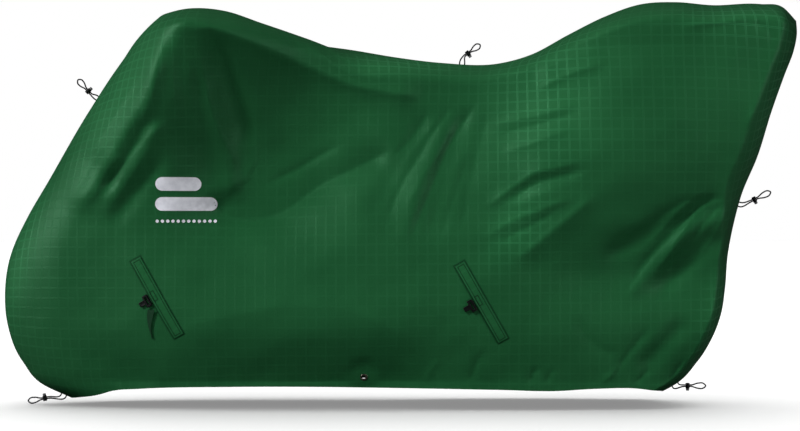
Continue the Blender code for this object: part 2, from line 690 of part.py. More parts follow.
def build_tail(tree, webbing, collection):
    """The front webbing's free end, which hangs from the buckle bar and narrows as it twists."""
    centre, down, free = flap_frame(FLAPS[0])
    bar_end = centre + free * (BUCKLE_START + BUCKLE_BAR_WIDE / 2)
    bar_end += down * (BUCKLE_OFFSET + BUCKLE_BAR_LONG / 2)
    outer = np.zeros((TAIL_CELLS + 1, 3, 3))
    inner = outer.copy()
    for i in range(TAIL_CELLS + 1):
        f = i / TAIL_CELLS
        sway = TAIL_START - TAIL_SWAY * math.sin(math.pi * f)
        middle = bar_end + Vector((sway, 0, -TAIL_DROP - TAIL_LENGTH * f))
        half = (TAIL_WIDTH * (1 - ease(np.array(f * 1.1))) + TAIL_TIP_WIDTH) / 2
        for j, side in enumerate((-1, 0, 1)):
            point = middle + Vector((side * half, 0, 0))
            off = TAIL_OFF * (1 - 0.6 * f) + TAIL_TWIST * side
            inner[i, j] = on_panel(tree, point, off)
            outer[i, j] = on_panel(tree, point, off + STRAP_THICK)
    cloth_solid("strap_tail", outer, inner, webbing, collection)


def seam_place(loop):
    """World point and direction along the seam at a drawcord's middle, per unit of the edge's share."""
    read, edge = {
        "front": (side_edge, FRONT_EDGE),
        "top": (long_edge, TOP_EDGE),
        "rear": (side_edge, REAR_EDGE),
    }[loop.edge]
    small = 1e-3
    ends = [to_world(*read(edge, np.array(loop.share + step)), 0) for step in (-small, small)]
    rate = (ends[1] - ends[0]) / (2 * small)
    half = loop.spread / 2 / np.linalg.norm(rate)
    exits = [to_world(*read(edge, np.array(loop.share + step)), 0) for step in (-half, half)]
    return exits, rate


def loop_route(loop):
    """The loop's route in the middle plane: out of the seam, through the lock, round and back."""
    lock, tip = (to_world(*spot, 0) for spot in (loop.lock, loop.tip))
    reach = np.linalg.norm(tip - lock)
    ahead = (tip - lock) / reach
    across = np.array([-ahead[2], 0, ahead[0]])
    exits, rate = seam_place(loop)
    outward = np.array([-rate[2], 0, rate[0]]) / np.linalg.norm(rate)
    if loop.edge == "rear":
        outward = -outward
    side = 1 if (exits[1] - exits[0]) @ across > 0 else -1
    strands = []
    for k, sign in ((0, -side), (1, side)):
        strands.append(
            [
                exits[k] + outward * CORD_OFF,
                exits[k] + outward * CORD_OUT,
                lock - ahead * LOOP_NECK + across * sign * LOCK_STRAND,
                lock + across * sign * LOCK_STRAND,
                lock + ahead * LOOP_NECK + across * sign * LOCK_STRAND,
                lock + ahead * (LOOP_NECK + (reach - LOOP_NECK) * 0.45) + across * sign * LOOP_HALF_WIDTH,
                lock + ahead * (LOOP_NECK + (reach - LOOP_NECK) * 0.80) + across * sign * LOOP_HALF_WIDTH,
            ]
        )
    route = np.array(strands[0] + [tip] + strands[1][::-1])
    return route, lock, ahead, across


def smooth_route(route, count):
    """Points at even distances on one smooth curve through the route."""
    reach = np.append(0, np.cumsum(np.linalg.norm(np.diff(route, axis=0), axis=1)))
    at = np.linspace(0, reach[-1], count)
    return np.stack([cubic(reach, route[:, k], at) for k in range(3)], axis=1)


def build_loops(elastic, plastic, button, collection, cutters):
    """An elastic loop, a barrel lock with a cross slot and the lock's button at each drawcord."""
    for loop in LOOPS:
        route, lock, ahead, across = loop_route(loop)
        curve = bpy.data.curves.new(f"cord_loop_{loop.name}", "CURVE")
        curve.dimensions = "3D"
        curve.bevel_depth = CORD_RADIUS
        curve.bevel_resolution = 2
        curve.use_fill_caps = True
        spline = curve.splines.new("POLY")
        points = smooth_route(route, CORD_POINTS)
        spline.points.add(len(points) - 1)
        for point, spot in zip(spline.points, points):
            point.co = (*spot, 1)
        place(curve.name, curve, elastic, collection)

        matrix = frame_matrix((0, 1, 0), ahead, lock)
        half = LOCK_LENGTH / 2
        barrel = [
            (0, half),
            (LOCK_RADIUS - LOCK_EDGE, half),
            (LOCK_RADIUS, half - LOCK_EDGE),
            (LOCK_RADIUS, -half + LOCK_EDGE),
            (LOCK_RADIUS - LOCK_EDGE, -half),
            (0, -half),
        ]
        body = turned(f"cord_lock_{loop.name}", barrel, False, LOCK_STEPS, plastic, collection, matrix)
        slot = box_cutter(
            f"lock_slot_{loop.name}",
            (LOCK_SLOT_WIDE, LOCK_RADIUS * 4, LOCK_SLOT_LONG),
            plastic,
            collection,
            matrix,
        )
        cut(body, slot, cutters)
        top = half + GAP
        cap = [
            (0, top + BUTTON_LENGTH),
            (BUTTON_RADIUS * 0.7, top + BUTTON_LENGTH),
            (BUTTON_RADIUS, top + BUTTON_LENGTH * 0.75),
            (BUTTON_RADIUS, top),
            (0, top),
        ]
        turned(f"lock_button_{loop.name}", cap, False, LOCK_STEPS, button, collection, matrix)


def main():
    for obj in list(bpy.data.objects):
        bpy.data.objects.remove(obj, do_unlink=True)
    scene = bpy.context.scene.collection
    collection = bpy.data.collections.new("Bicycle cover")
    cutters = bpy.data.collections.new("Cutters")
    scene.children.link(collection)
    scene.children.link(cutters)
    cloth = new_material("Green cloth", (0.012, 0.080, 0.027), 0.50)
    webbing = new_material("Dark webbing", (0.010, 0.030, 0.018), 0.70)
    elastic = new_material("Black elastic", (0.010, 0.010, 0.012), 0.65)
    plastic = new_material("Black plastic", (0.012, 0.012, 0.013), 0.40)
    button = new_material("Grey plastic", (0.120, 0.120, 0.125), 0.45)
    metal = new_material("Dull brass", (0.360, 0.330, 0.270), 0.42, 1.0)
    build_panels(cloth, collection)
    build_eyelets(metal, collection, cutters)
    tree = panel_tree()
    build_flaps(tree, cloth, collection)
    build_straps(tree, webbing, collection)
    build_buckles(tree, plastic, collection)
    build_tail(tree, webbing, collection)
    build_loops(elastic, plastic, button, collection, cutters)


main()
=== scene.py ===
import math
from collections import namedtuple

import bmesh
import bpy
import numpy as np
from mathutils import Matrix, Vector
from mathutils.bvhtree import BVHTree


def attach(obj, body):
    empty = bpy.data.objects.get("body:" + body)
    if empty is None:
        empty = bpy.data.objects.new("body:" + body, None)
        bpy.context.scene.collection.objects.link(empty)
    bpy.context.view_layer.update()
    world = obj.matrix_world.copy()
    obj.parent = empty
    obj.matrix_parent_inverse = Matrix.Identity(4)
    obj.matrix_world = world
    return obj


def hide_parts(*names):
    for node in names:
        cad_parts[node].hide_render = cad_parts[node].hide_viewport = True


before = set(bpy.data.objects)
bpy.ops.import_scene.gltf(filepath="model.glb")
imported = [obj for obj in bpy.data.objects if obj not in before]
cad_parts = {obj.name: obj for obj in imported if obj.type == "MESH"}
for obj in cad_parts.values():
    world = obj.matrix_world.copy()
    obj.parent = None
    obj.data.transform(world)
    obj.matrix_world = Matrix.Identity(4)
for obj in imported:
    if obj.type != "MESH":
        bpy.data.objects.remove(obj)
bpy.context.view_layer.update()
bpy.ops.object.select_all(action="DESELECT")

view = {
    "distance": 5.0,  # from the cover's middle plane to the eye, in metres
    "eyeHeight": 0.4995,  # above the ground
    "halfWidth": 1.06,  # of what is seen in the middle plane
    "originHeight": 0.910,  # of the frame's origin above the ground
    "sensor": 36,  # in millimetres
    "farthest": 100,
}


def makeCamera():
    data = bpy.data.cameras.new("camera")
    data.sensor_width = view["sensor"]
    data.lens = view["sensor"] * view["distance"] / (2 * view["halfWidth"])
    data.clip_end = view["farthest"]
    camera = bpy.data.objects.new("camera", data)
    camera.location = (0, -view["distance"], view["eyeHeight"] - view["originHeight"])
    camera.rotation_euler = (math.radians(90), 0, 0)
    bpy.context.scene.collection.objects.link(camera)
    bpy.context.scene.camera = camera


makeCamera()
print("camera made")


def link(tree, source, target):
    tree.links.new(source, target)


def addNode(tree, kind, inputs=None, **settings):
    # an input is given as a value, or as the socket that feeds it
    node = tree.nodes.new(kind)
    for name, value in settings.items():
        setattr(node, name, value)
    for name, value in (inputs or {}).items():
        if isinstance(value, bpy.types.NodeSocket):
            link(tree, value, node.inputs[name])
        else:
            node.inputs[name].default_value = value
    return node


def calc(tree, operation, *values):
    return addNode(tree, "ShaderNodeMath", dict(enumerate(values)), operation=operation).outputs[0]


def vectorCalc(tree, operation, *values):
    return addNode(tree, "ShaderNodeVectorMath", dict(enumerate(values)), operation=operation).outputs


def bell(tree, value, steepness=1.0):
    # 1 at zero, fading on both sides of it
    square = calc(tree, "MULTIPLY", value, value)
    return calc(tree, "EXPONENT", calc(tree, "MULTIPLY", square, -steepness))


def mixColour(tree, factor, first, second, blend="MIX"):
    inputs = {0: factor, 6: first, 7: second}
    return addNode(tree, "ShaderNodeMix", inputs, data_type="RGBA", blend_type=blend).outputs[2]


def newGroup(name, inputs, output, *moreOutputs):
    # the outputs are all floats, and so are the inputs that have a number for their value
    tree = bpy.data.node_groups.new(name, "ShaderNodeTree")
    for label, value in inputs.items():
        kind = "NodeSocketVector" if value is None else "NodeSocketFloat"
        socket = tree.interface.new_socket(name=label, in_out="INPUT", socket_type=kind)
        if value is not None:
            socket.default_value = value
    for label in (output, *moreOutputs):
        tree.interface.new_socket(name=label, in_out="OUTPUT", socket_type="NodeSocketFloat")
    return tree, addNode(tree, "NodeGroupInput").outputs, addNode(tree, "NodeGroupOutput").inputs


def useGroup(tree, group, inputs):
    return addNode(tree, "ShaderNodeGroup", inputs, node_tree=group).outputs


def newMaterial(name):
    material = bpy.data.materials.new(name)
    material.use_nodes = True
    tree = material.node_tree
    return material, tree, tree.nodes["Principled BSDF"].inputs


def coatWith(tree, shader, colour, rough, height, strength, depth):
    bump = addNode(tree, "ShaderNodeBump", {"Strength": strength, "Distance": depth, "Height": height})
    link(tree, colour, shader["Base Color"])
    link(tree, rough, shader["Roughness"])
    link(tree, bump.outputs[0], shader["Normal"])


def makeRipstop():
    # reinforcing threads in pairs, on a square grid of the cloth's own flat coordinates
    inputs = {"Flat": None, "Pitch": 0.026, "Half gap": 0.0014, "Half width": 0.0009}
    tree, given, out = newGroup("ripstop", inputs, "Threads", "Groove", "Slub")
    place = addNode(tree, "ShaderNodeSeparateXYZ", {0: given["Flat"]}).outputs
    thread, groove = [], []
    for axis in (0, 1):
        share = calc(tree, "FRACT", calc(tree, "DIVIDE", place[axis], given["Pitch"]))
        centred = calc(tree, "ABSOLUTE", calc(tree, "SUBTRACT", share, 0.5))
        off = calc(tree, "MULTIPLY", centred, given["Pitch"])
        side = calc(tree, "ABSOLUTE", calc(tree, "SUBTRACT", off, given["Half gap"]))
        thread.append(bell(tree, calc(tree, "DIVIDE", side, given["Half width"])))
        groove.append(bell(tree, calc(tree, "DIVIDE", off, given["Half width"]), 2.0))
    link(tree, calc(tree, "MAXIMUM", *thread), out["Threads"])
    link(tree, calc(tree, "MAXIMUM", *groove), out["Groove"])
    slub = []
    for scale in ((420, 26, 1), (26, 420, 1)):
        mapped = addNode(tree, "ShaderNodeMapping", {"Vector": given["Flat"], "Scale": scale}).outputs[0]
        noise = addNode(tree, "ShaderNodeTexNoise", {"Vector": mapped, "Scale": 1.0, "Detail": 2.0})
        slub.append(noise.outputs[0])
    link(tree, calc(tree, "MULTIPLY", calc(tree, "ADD", *slub), 0.5), out["Slub"])
    return tree


def makePatches():
    # broad uneven patches, used for dye, sheen and handling marks
    inputs = {"Place": None, "Scale": 6.0, "Low": 0.35, "High": 0.65}
    tree, given, out = newGroup("patches", inputs, "Mask")
    sizes = {"Vector": given["Place"], "Scale": given["Scale"], "Detail": 3.0}
    noise = addNode(tree, "ShaderNodeTexNoise", sizes).outputs[0]
    limits = {0: noise, 1: given["Low"], 2: given["High"]}
    ramp = addNode(tree, "ShaderNodeMapRange", limits, interpolation_type="SMOOTHSTEP")
    link(tree, ramp.outputs[0], out["Mask"])
    return tree


def makeBlot():
    # a soft patch in the side view, 1 at its middle
    inputs = {"Place": None, "Middle": None, "Reach": None, "Slant": 0.0}
    tree, given, out = newGroup("soft patch", inputs, "Mask")
    off = vectorCalc(tree, "SUBTRACT", given["Place"], given["Middle"])[0]
    turn = {"Vector": off, "Angle": given["Slant"]}
    turned = addNode(tree, "ShaderNodeVectorRotate", turn, rotation_type="Y_AXIS").outputs[0]
    share = vectorCalc(tree, "DIVIDE", turned, given["Reach"])[0]
    link(tree, bell(tree, vectorCalc(tree, "LENGTH", share)["Value"]), out["Mask"])
    return tree


def makeGrain():
    # fine moulded grain
    tree, given, out = newGroup("grain", {"Place": None, "Scale": 2600.0}, "Height")
    sizes = {"Vector": given["Place"], "Scale": given["Scale"], "Detail": 2.0}
    link(tree, addNode(tree, "ShaderNodeTexNoise", sizes).outputs[0], out["Height"])
    return tree


def makeYarns():
    # crossing sets of yarns, for webbing and braid
    inputs = {"Flat": None, "Across": 900.0, "Along": 450.0, "Slant": 0.0}
    tree, given, out = newGroup("yarns", inputs, "Height")
    place = addNode(tree, "ShaderNodeSeparateXYZ", {0: given["Flat"]}).outputs
    across = calc(tree, "MULTIPLY", place[0], given["Across"])
    along = calc(tree, "MULTIPLY", place[1], given["Along"])
    waves = []
    for sign in (1.0, -1.0):
        turned = calc(tree, "MULTIPLY", calc(tree, "MULTIPLY", given["Slant"], sign), across)
        waves.append(calc(tree, "SINE", calc(tree, "MULTIPLY", calc(tree, "ADD", along, turned), math.tau)))
    rib = calc(tree, "MULTIPLY", calc(tree, "SINE", calc(tree, "MULTIPLY", across, math.tau)), 0.3)
    link(tree, calc(tree, "MULTIPLY_ADD", calc(tree, "MAXIMUM", *waves), 0.5, rib), out["Height"])
    return tree


def makeOutline():
    # 1 on the outline of a rectangle, fading within reach on both sides of it
    inputs = {"Along": 0.0, "Across": 0.0, "Half length": 0.1, "Half width": 0.01, "Reach": 0.001}
    tree, given, out = newGroup("outline", inputs, "Mask")
    long = calc(tree, "SUBTRACT", calc(tree, "ABSOLUTE", given["Along"]), given["Half length"])
    wide = calc(tree, "SUBTRACT", calc(tree, "ABSOLUTE", given["Across"]), given["Half width"])
    off = calc(tree, "DIVIDE", calc(tree, "MAXIMUM", long, wide), given["Reach"])
    link(tree, bell(tree, off), out["Mask"])
    return tree


ripstop, patches, blot = makeRipstop(), makePatches(), makeBlot()
grain, yarns, outline = makeGrain(), makeYarns(), makeOutline()

clothFinish = {
    "dark": (0.0085, 0.068, 0.0215, 1),
    "light": (0.0102, 0.078, 0.0248, 1),
    # the reinforcing threads' lighter colour is a painted glint; the darker green below it is painted shade
    # in the line between each pair of threads, and also gives the slubs their uneven tone
    "thread": (0.034, 0.190, 0.076, 1),
    "groove": (0.006, 0.046, 0.015, 1),
    # painted shade for the pressed-in lines round and on the strap flaps
    "seam": (0.0025, 0.020, 0.007, 1),
    "rough": (0.46, 0.54),
    "threadRough": -0.20,
    "pitch": 0.0262,
    "specular": 0.20,
    "specularTint": (0.30, 0.85, 0.48, 1),
    "bump": 0.5,
    "relief": 0.0006,
    "threadRelief": 0.8,
    "slubRelief": 0.3,
    "slubShade": 0.25,
    "dyePatches": {"Scale": 5.0, "Low": 0.3, "High": 0.7},
    "threadPatches": {"Scale": 3.4, "Low": 0.34, "High": 0.58},
    "patchesShow": 0.15,  # how much of the threads shows in random patches, and in the patches of painted sheen
    "paintedSheenThreads": 0.85,
    "threadsShow": (0.50, 0.03),  # where they show and where they hardly do
    "groovesShow": (0.50, 0.06),
    "paintedSheenLighter": 1.26,
    # patches of painted sheen, where the cloth is painted lighter and the threads' painted glints show most:
    # along, height, their reach, slant in degrees
    "paintedSheen": [
        (-0.715, 0.840, 0.215, 0.070, 60),
        (-0.990, 0.400, 0.230, 0.036, 75),
        (0.370, 0.800, 0.200, 0.120, 70),
        (0.830, 0.275, 0.130, 0.040, 70),
        (0.300, 0.470, 0.120, 0.060, 60),
        (0.880, 1.000, 0.150, 0.050, 0),
        (0.960, 0.800, 0.230, 0.030, 70),
        (0.060, 0.900, 0.220, 0.030, 5),
    ],
}


# the patches of painted sheen, 1 at their middles
def paintedSheenMask(tree, place):
    mask = 0.0
    for along, height, long, wide, slant in clothFinish["paintedSheen"]:
        sizes = {
            "Place": place,
            "Middle": (along, 0, height - view["originHeight"]),
            "Reach": (long, 10, wide),  # the same all the way through the cover
            "Slant": math.radians(slant),
        }
        mask = calc(tree, "MAXIMUM", useGroup(tree, blot, sizes)["Mask"], mask)
    return mask


def makeCloth(name, pressedShades=None, lighter=1.0):
    material, tree, shader = newMaterial(name)
    uv = addNode(tree, "ShaderNodeUVMap", uv_map="flat").outputs[0]
    place = addNode(tree, "ShaderNodeTexCoord").outputs["Object"]
    weave = useGroup(tree, ripstop, {"Flat": uv, "Pitch": clothFinish["pitch"]})
    dye = useGroup(tree, patches, {"Place": place, **clothFinish["dyePatches"]})["Mask"]
    seen = useGroup(tree, patches, {"Place": place, **clothFinish["threadPatches"]})["Mask"]
    paintedSheen = paintedSheenMask(tree, place)
    paintedSheenShare = calc(tree, "MULTIPLY", paintedSheen, clothFinish["paintedSheenThreads"])
    shown = calc(tree, "MULTIPLY_ADD", seen, clothFinish["patchesShow"], paintedSheenShare)

    dark, light = ([lighter * c for c in clothFinish[tone][:3]] + [1] for tone in ("dark", "light"))
    base = mixColour(tree, dye, dark, light)
    slub = calc(tree, "MULTIPLY", weave["Slub"], clothFinish["slubShade"])
    base = mixColour(tree, slub, base, clothFinish["groove"])
    # painted sheen: the cloth made lighter in the listed patches
    brighter = mixColour(tree, 1.0, base, [clothFinish["paintedSheenLighter"]] * 3 + [1], "MULTIPLY")
    base = mixColour(tree, paintedSheen, base, brighter)
    # painted glints on the threads and painted shade between each pair of them, strongest in the patches of
    # painted sheen
    for part, tone in (("Groove", "groove"), ("Threads", "thread")):
        most, least = clothFinish[f"{tone}sShow"]
        share = calc(tree, "MULTIPLY", weave[part], calc(tree, "MULTIPLY_ADD", shown, most, least))
        base = mixColour(tree, share, base, clothFinish[tone])

    height = calc(tree, "MULTIPLY", weave["Slub"], clothFinish["slubRelief"])
    height = calc(tree, "MULTIPLY_ADD", weave["Threads"], clothFinish["threadRelief"], height)
    # painted shade along pressed-in lines: each line darkens the colour and also lowers the bump
    for mask, share in pressedShades(tree, uv, place) if pressedShades else []:
        base = mixColour(tree, calc(tree, "MULTIPLY", mask, share), base, clothFinish["seam"])
        height = calc(tree, "SUBTRACT", height, mask)
    low, high = clothFinish["rough"]
    rough = calc(tree, "MULTIPLY_ADD", dye, high - low, low)
    smoother = calc(tree, "MULTIPLY", weave["Threads"], shown)
    rough = calc(tree, "MULTIPLY_ADD", smoother, clothFinish["threadRough"], rough)
    coatWith(tree, shader, base, rough, height, clothFinish["bump"], clothFinish["relief"])
    shader["Specular IOR Level"].default_value = clothFinish["specular"]
    shader["Specular Tint"].default_value = clothFinish["specularTint"]
    return material


# plain and worn colour, roughness and how much it changes where worn, and the grain
hardFinish = {
    "rougher": -0.12,
    "patches": {"Scale": 140.0, "Low": 0.45, "High": 0.75},
    "grain": 2600.0,
    "bump": 0.25,
    "relief": 0.0002,
    "specular": 0.16,
    "metallic": 0.0,
}
blackFinish = {"plain": (0.003, 0.004, 0.004, 1), "worn": (0.0057, 0.0076, 0.0076, 1), "rough": 0.5}
greyFinish = {"plain": (0.11, 0.11, 0.115, 1), "worn": (0.209, 0.209, 0.2185, 1), "rough": 0.45}
threadFinish = {"plain": (0.001, 0.012, 0.004, 1), "worn": (0.0019, 0.0228, 0.0076, 1), "rough": 0.7}
brassFinish = {
    "plain": (0.20, 0.18, 0.14, 1),
    "worn": (0.46, 0.43, 0.36, 1),
    "rough": 0.5,
    "rougher": -0.2,
    "patches": {"Scale": 420.0, "Low": 0.35, "High": 0.7},
    "grain": 1500.0,
    "bump": 0.15,
    "specular": 0.5,
    "metallic": 1.0,
}
printFinish = {
    "plain": (0.56, 0.57, 0.63, 1),
    "worn": (0.66, 0.67, 0.73, 1),
    "rough": 0.42,
    "rougher": 0.1,
    "patches": {"Scale": 60.0, "Low": 0.3, "High": 0.7},
    "grain": 1800.0,
    "bump": 0.2,
    "specular": 0.5,
}


def makeHard(name, values):
    finish = {**hardFinish, **values}
    material, tree, shader = newMaterial(name)
    place = addNode(tree, "ShaderNodeTexCoord").outputs["Object"]
    worn = useGroup(tree, patches, {"Place": place, **finish["patches"]})["Mask"]
    colour = mixColour(tree, worn, finish["plain"], finish["worn"])
    rough = calc(tree, "MULTIPLY_ADD", worn, finish["rougher"], finish["rough"])
    height = useGroup(tree, grain, {"Place": place, "Scale": finish["grain"]})["Height"]
    coatWith(tree, shader, colour, rough, height, finish["bump"], finish["relief"])
    shader["Specular IOR Level"].default_value = finish["specular"]
    shader["Metallic"].default_value = finish["metallic"]
    return material


# colours of the deep and raised yarns, the deep ones darker as painted shade in the hollows of the weave,
# and the yarns' counts to a metre or to a turn round a cord
webbingFinish = {
    "deep": (0.003, 0.020, 0.008, 1),
    "raised": (0.008, 0.040, 0.017, 1),
    "yarns": {"Across": 1 / 0.0022, "Along": 1 / 0.0030, "Slant": 0.5},
    "rough": 0.7,
    "relief": 0.0004,
}
elasticFinish = {
    "deep": (0.005, 0.005, 0.006, 1),
    "raised": (0.022, 0.022, 0.025, 1),
    "yarns": {"Across": 8, "Along": 1 / 0.0016, "Slant": 0.125},
    "rough": 0.65,
    "relief": 0.0003,
}


def makeWoven(name, finish):
    material, tree, shader = newMaterial(name)
    uv = addNode(tree, "ShaderNodeUVMap", uv_map="flat").outputs[0]
    height = useGroup(tree, yarns, {"Flat": uv, **finish["yarns"]})["Height"]
    # painted shade: the lower a yarn lies, the darker it is coloured
    shade = calc(tree, "MULTIPLY_ADD", height, 0.5, 0.5)
    colour = mixColour(tree, shade, finish["deep"], finish["raised"])
    rough = calc(tree, "MULTIPLY_ADD", shade, -0.1, finish["rough"])
    coatWith(tree, shader, colour, rough, height, 0.6, finish["relief"])
    shader["Specular IOR Level"].default_value = 0.08
    return material


blackPlastic = makeHard("black plastic", blackFinish)
greyPlastic = makeHard("grey plastic", greyFinish)
threadMaterial = makeHard("dark green thread", threadFinish)
brassMaterial = makeHard("dull brass", brassFinish)
printMaterial = makeHard("reflective print", printFinish)
webbingMaterial = makeWoven("dark green webbing", webbingFinish)
elasticMaterial = makeWoven("black elastic", elasticFinish)
print("materials made")

# the cover's shape, as seen square on from the side: how far along, how high above the ground
frontEdge = [
    (-0.869, 0.016), (-0.940, 0.048), (-0.999, 0.111), (-1.039, 0.207), (-1.047, 0.290), (-1.031, 0.397),
    (-0.988, 0.493), (-0.933, 0.588), (-0.822, 0.779), (-0.737, 0.906), (-0.689, 0.965), (-0.640, 0.998),
]
topEdge = [
    (-0.640, 0.998), (-0.540, 1.012), (-0.445, 1.003), (-0.350, 0.977), (-0.246, 0.955), (-0.127, 0.938),
    (0.000, 0.917), (0.110, 0.904), (0.265, 0.903), (0.350, 0.927), (0.445, 0.978), (0.541, 1.026),
    (0.636, 1.059), (0.731, 1.065), (0.827, 1.057), (0.954, 1.060), (1.018, 1.049), (1.050, 1.015),
]
rearEdge = [
    (0.697, 0.034), (0.723, 0.048), (0.787, 0.111), (0.827, 0.175), (0.851, 0.239), (0.861, 0.302),
    (0.869, 0.397), (0.888, 0.493), (0.906, 0.557), (0.946, 0.652), (0.986, 0.779), (1.020, 0.874),
    (1.044, 0.938), (1.052, 0.985), (1.050, 1.015),
]
hemEdge = [
    (-0.869, 0.016), (-0.805, 0.023), (-0.760, 0.035), (-0.690, 0.040), (-0.445, 0.045), (-0.212, 0.045),
    (0.000, 0.042), (0.265, 0.037), (0.413, 0.034), (0.520, 0.040), (0.636, 0.040), (0.668, 0.036),
    (0.697, 0.034),
]
# half widths of the cover at stations along it and at heights above the ground, then how far below
# the top seam the cloth has turned down and how far it is lifted just beside the seam
widthHeights = (0.06, 0.20, 0.35, 0.50, 0.65, 0.80, 0.95)
turnColumn, liftColumn = 8, 9
sections = [
    (-1.05, 0.070, 0.090, 0.100, 0.100, 0.100, 0.120, 0.140, 0.050, 0.000),
    (-0.90, 0.090, 0.125, 0.140, 0.140, 0.140, 0.150, 0.170, 0.050, 0.000),
    (-0.75, 0.115, 0.160, 0.170, 0.165, 0.175, 0.200, 0.220, 0.060, 0.015),
    (-0.62, 0.135, 0.185, 0.190, 0.165, 0.190, 0.235, 0.262, 0.085, 0.044),
    (-0.50, 0.145, 0.200, 0.190, 0.135, 0.140, 0.190, 0.265, 0.090, 0.053),
    (-0.38, 0.148, 0.210, 0.195, 0.132, 0.115, 0.160, 0.240, 0.088, 0.049),
    (-0.25, 0.148, 0.213, 0.200, 0.153, 0.113, 0.132, 0.185, 0.085, 0.032),
    (-0.12, 0.148, 0.213, 0.202, 0.182, 0.146, 0.125, 0.150, 0.082, 0.000),
    (0.00, 0.152, 0.212, 0.202, 0.185, 0.160, 0.138, 0.150, 0.070, 0.000),
    (0.13, 0.170, 0.204, 0.205, 0.187, 0.168, 0.136, 0.135, 0.062, 0.000),
    (0.26, 0.174, 0.200, 0.205, 0.191, 0.181, 0.150, 0.130, 0.058, 0.000),
    (0.40, 0.174, 0.196, 0.186, 0.214, 0.224, 0.190, 0.155, 0.060, 0.000),
    (0.55, 0.166, 0.184, 0.164, 0.216, 0.244, 0.228, 0.190, 0.060, 0.000),
    (0.70, 0.148, 0.170, 0.152, 0.202, 0.237, 0.235, 0.205, 0.050, 0.000),
    (0.85, 0.110, 0.155, 0.150, 0.182, 0.215, 0.225, 0.205, 0.045, 0.000),
    (1.05, 0.100, 0.130, 0.140, 0.160, 0.190, 0.205, 0.190, 0.040, 0.000),
]

# a fold runs along its route, is left wide on its left and right wide on its right, and stands
# out by height or goes in where that is negative
Fold = namedtuple("Fold", "route left right height")
mainFolds = [
    # front slope, fanning down and forward from the handlebar end
    Fold(((-0.64, 0.93), (-0.70, 0.78), (-0.87, 0.50)), 0.030, 0.060, 0.013),
    Fold(((-0.66, 0.78), (-0.72, 0.67), (-0.80, 0.55)), 0.024, 0.024, -0.012),
    Fold(((-0.62, 0.76), (-0.70, 0.64), (-0.80, 0.49)), 0.026, 0.026, 0.010),
    Fold(((-0.62, 0.67), (-0.71, 0.55), (-0.78, 0.45)), 0.026, 0.026, -0.010),
    # hollow under the handlebar, and the crisp valley that ends it below
    Fold(((-0.50, 0.93), (-0.45, 0.80), (-0.40, 0.67)), 0.026, 0.026, -0.013),
    Fold(((-0.52, 0.85), (-0.48, 0.70), (-0.43, 0.52)), 0.026, 0.026, 0.010),
    Fold(((-0.50, 0.50), (-0.20, 0.57), (0.08, 0.78)), 0.050, 0.050, -0.004),
    # fan below the saddle
    Fold(((0.09, 0.78), (0.00, 0.64), (-0.09, 0.47)), 0.026, 0.026, -0.006),
    Fold(((0.14, 0.79), (0.07, 0.63), (0.00, 0.40)), 0.026, 0.026, 0.006),
    Fold(((0.18, 0.80), (0.13, 0.64), (0.07, 0.42)), 0.026, 0.026, -0.007),
    # steps up to the load behind the saddle
    Fold(((0.35, 0.86), (0.44, 0.89), (0.55, 0.92)), 0.026, 0.026, 0.005),
    Fold(((0.27, 0.75), (0.36, 0.77), (0.47, 0.81)), 0.026, 0.026, 0.003),
    Fold(((0.27, 0.55), (0.38, 0.60), (0.50, 0.64)), 0.026, 0.026, -0.006),
    Fold(((0.25, 0.51), (0.36, 0.55), (0.46, 0.58)), 0.026, 0.026, 0.004),
    # pulled folds from the rear drawcord
    Fold(((0.87, 0.56), (0.68, 0.46), (0.52, 0.38)), 0.026, 0.026, -0.011),
    Fold(((0.87, 0.52), (0.71, 0.40), (0.58, 0.27)), 0.026, 0.026, 0.010),
    Fold(((0.87, 0.48), (0.77, 0.38), (0.66, 0.27)), 0.026, 0.026, -0.011),
    Fold(((0.77, 0.23), (0.70, 0.16), (0.63, 0.08)), 0.026, 0.026, -0.010),
]
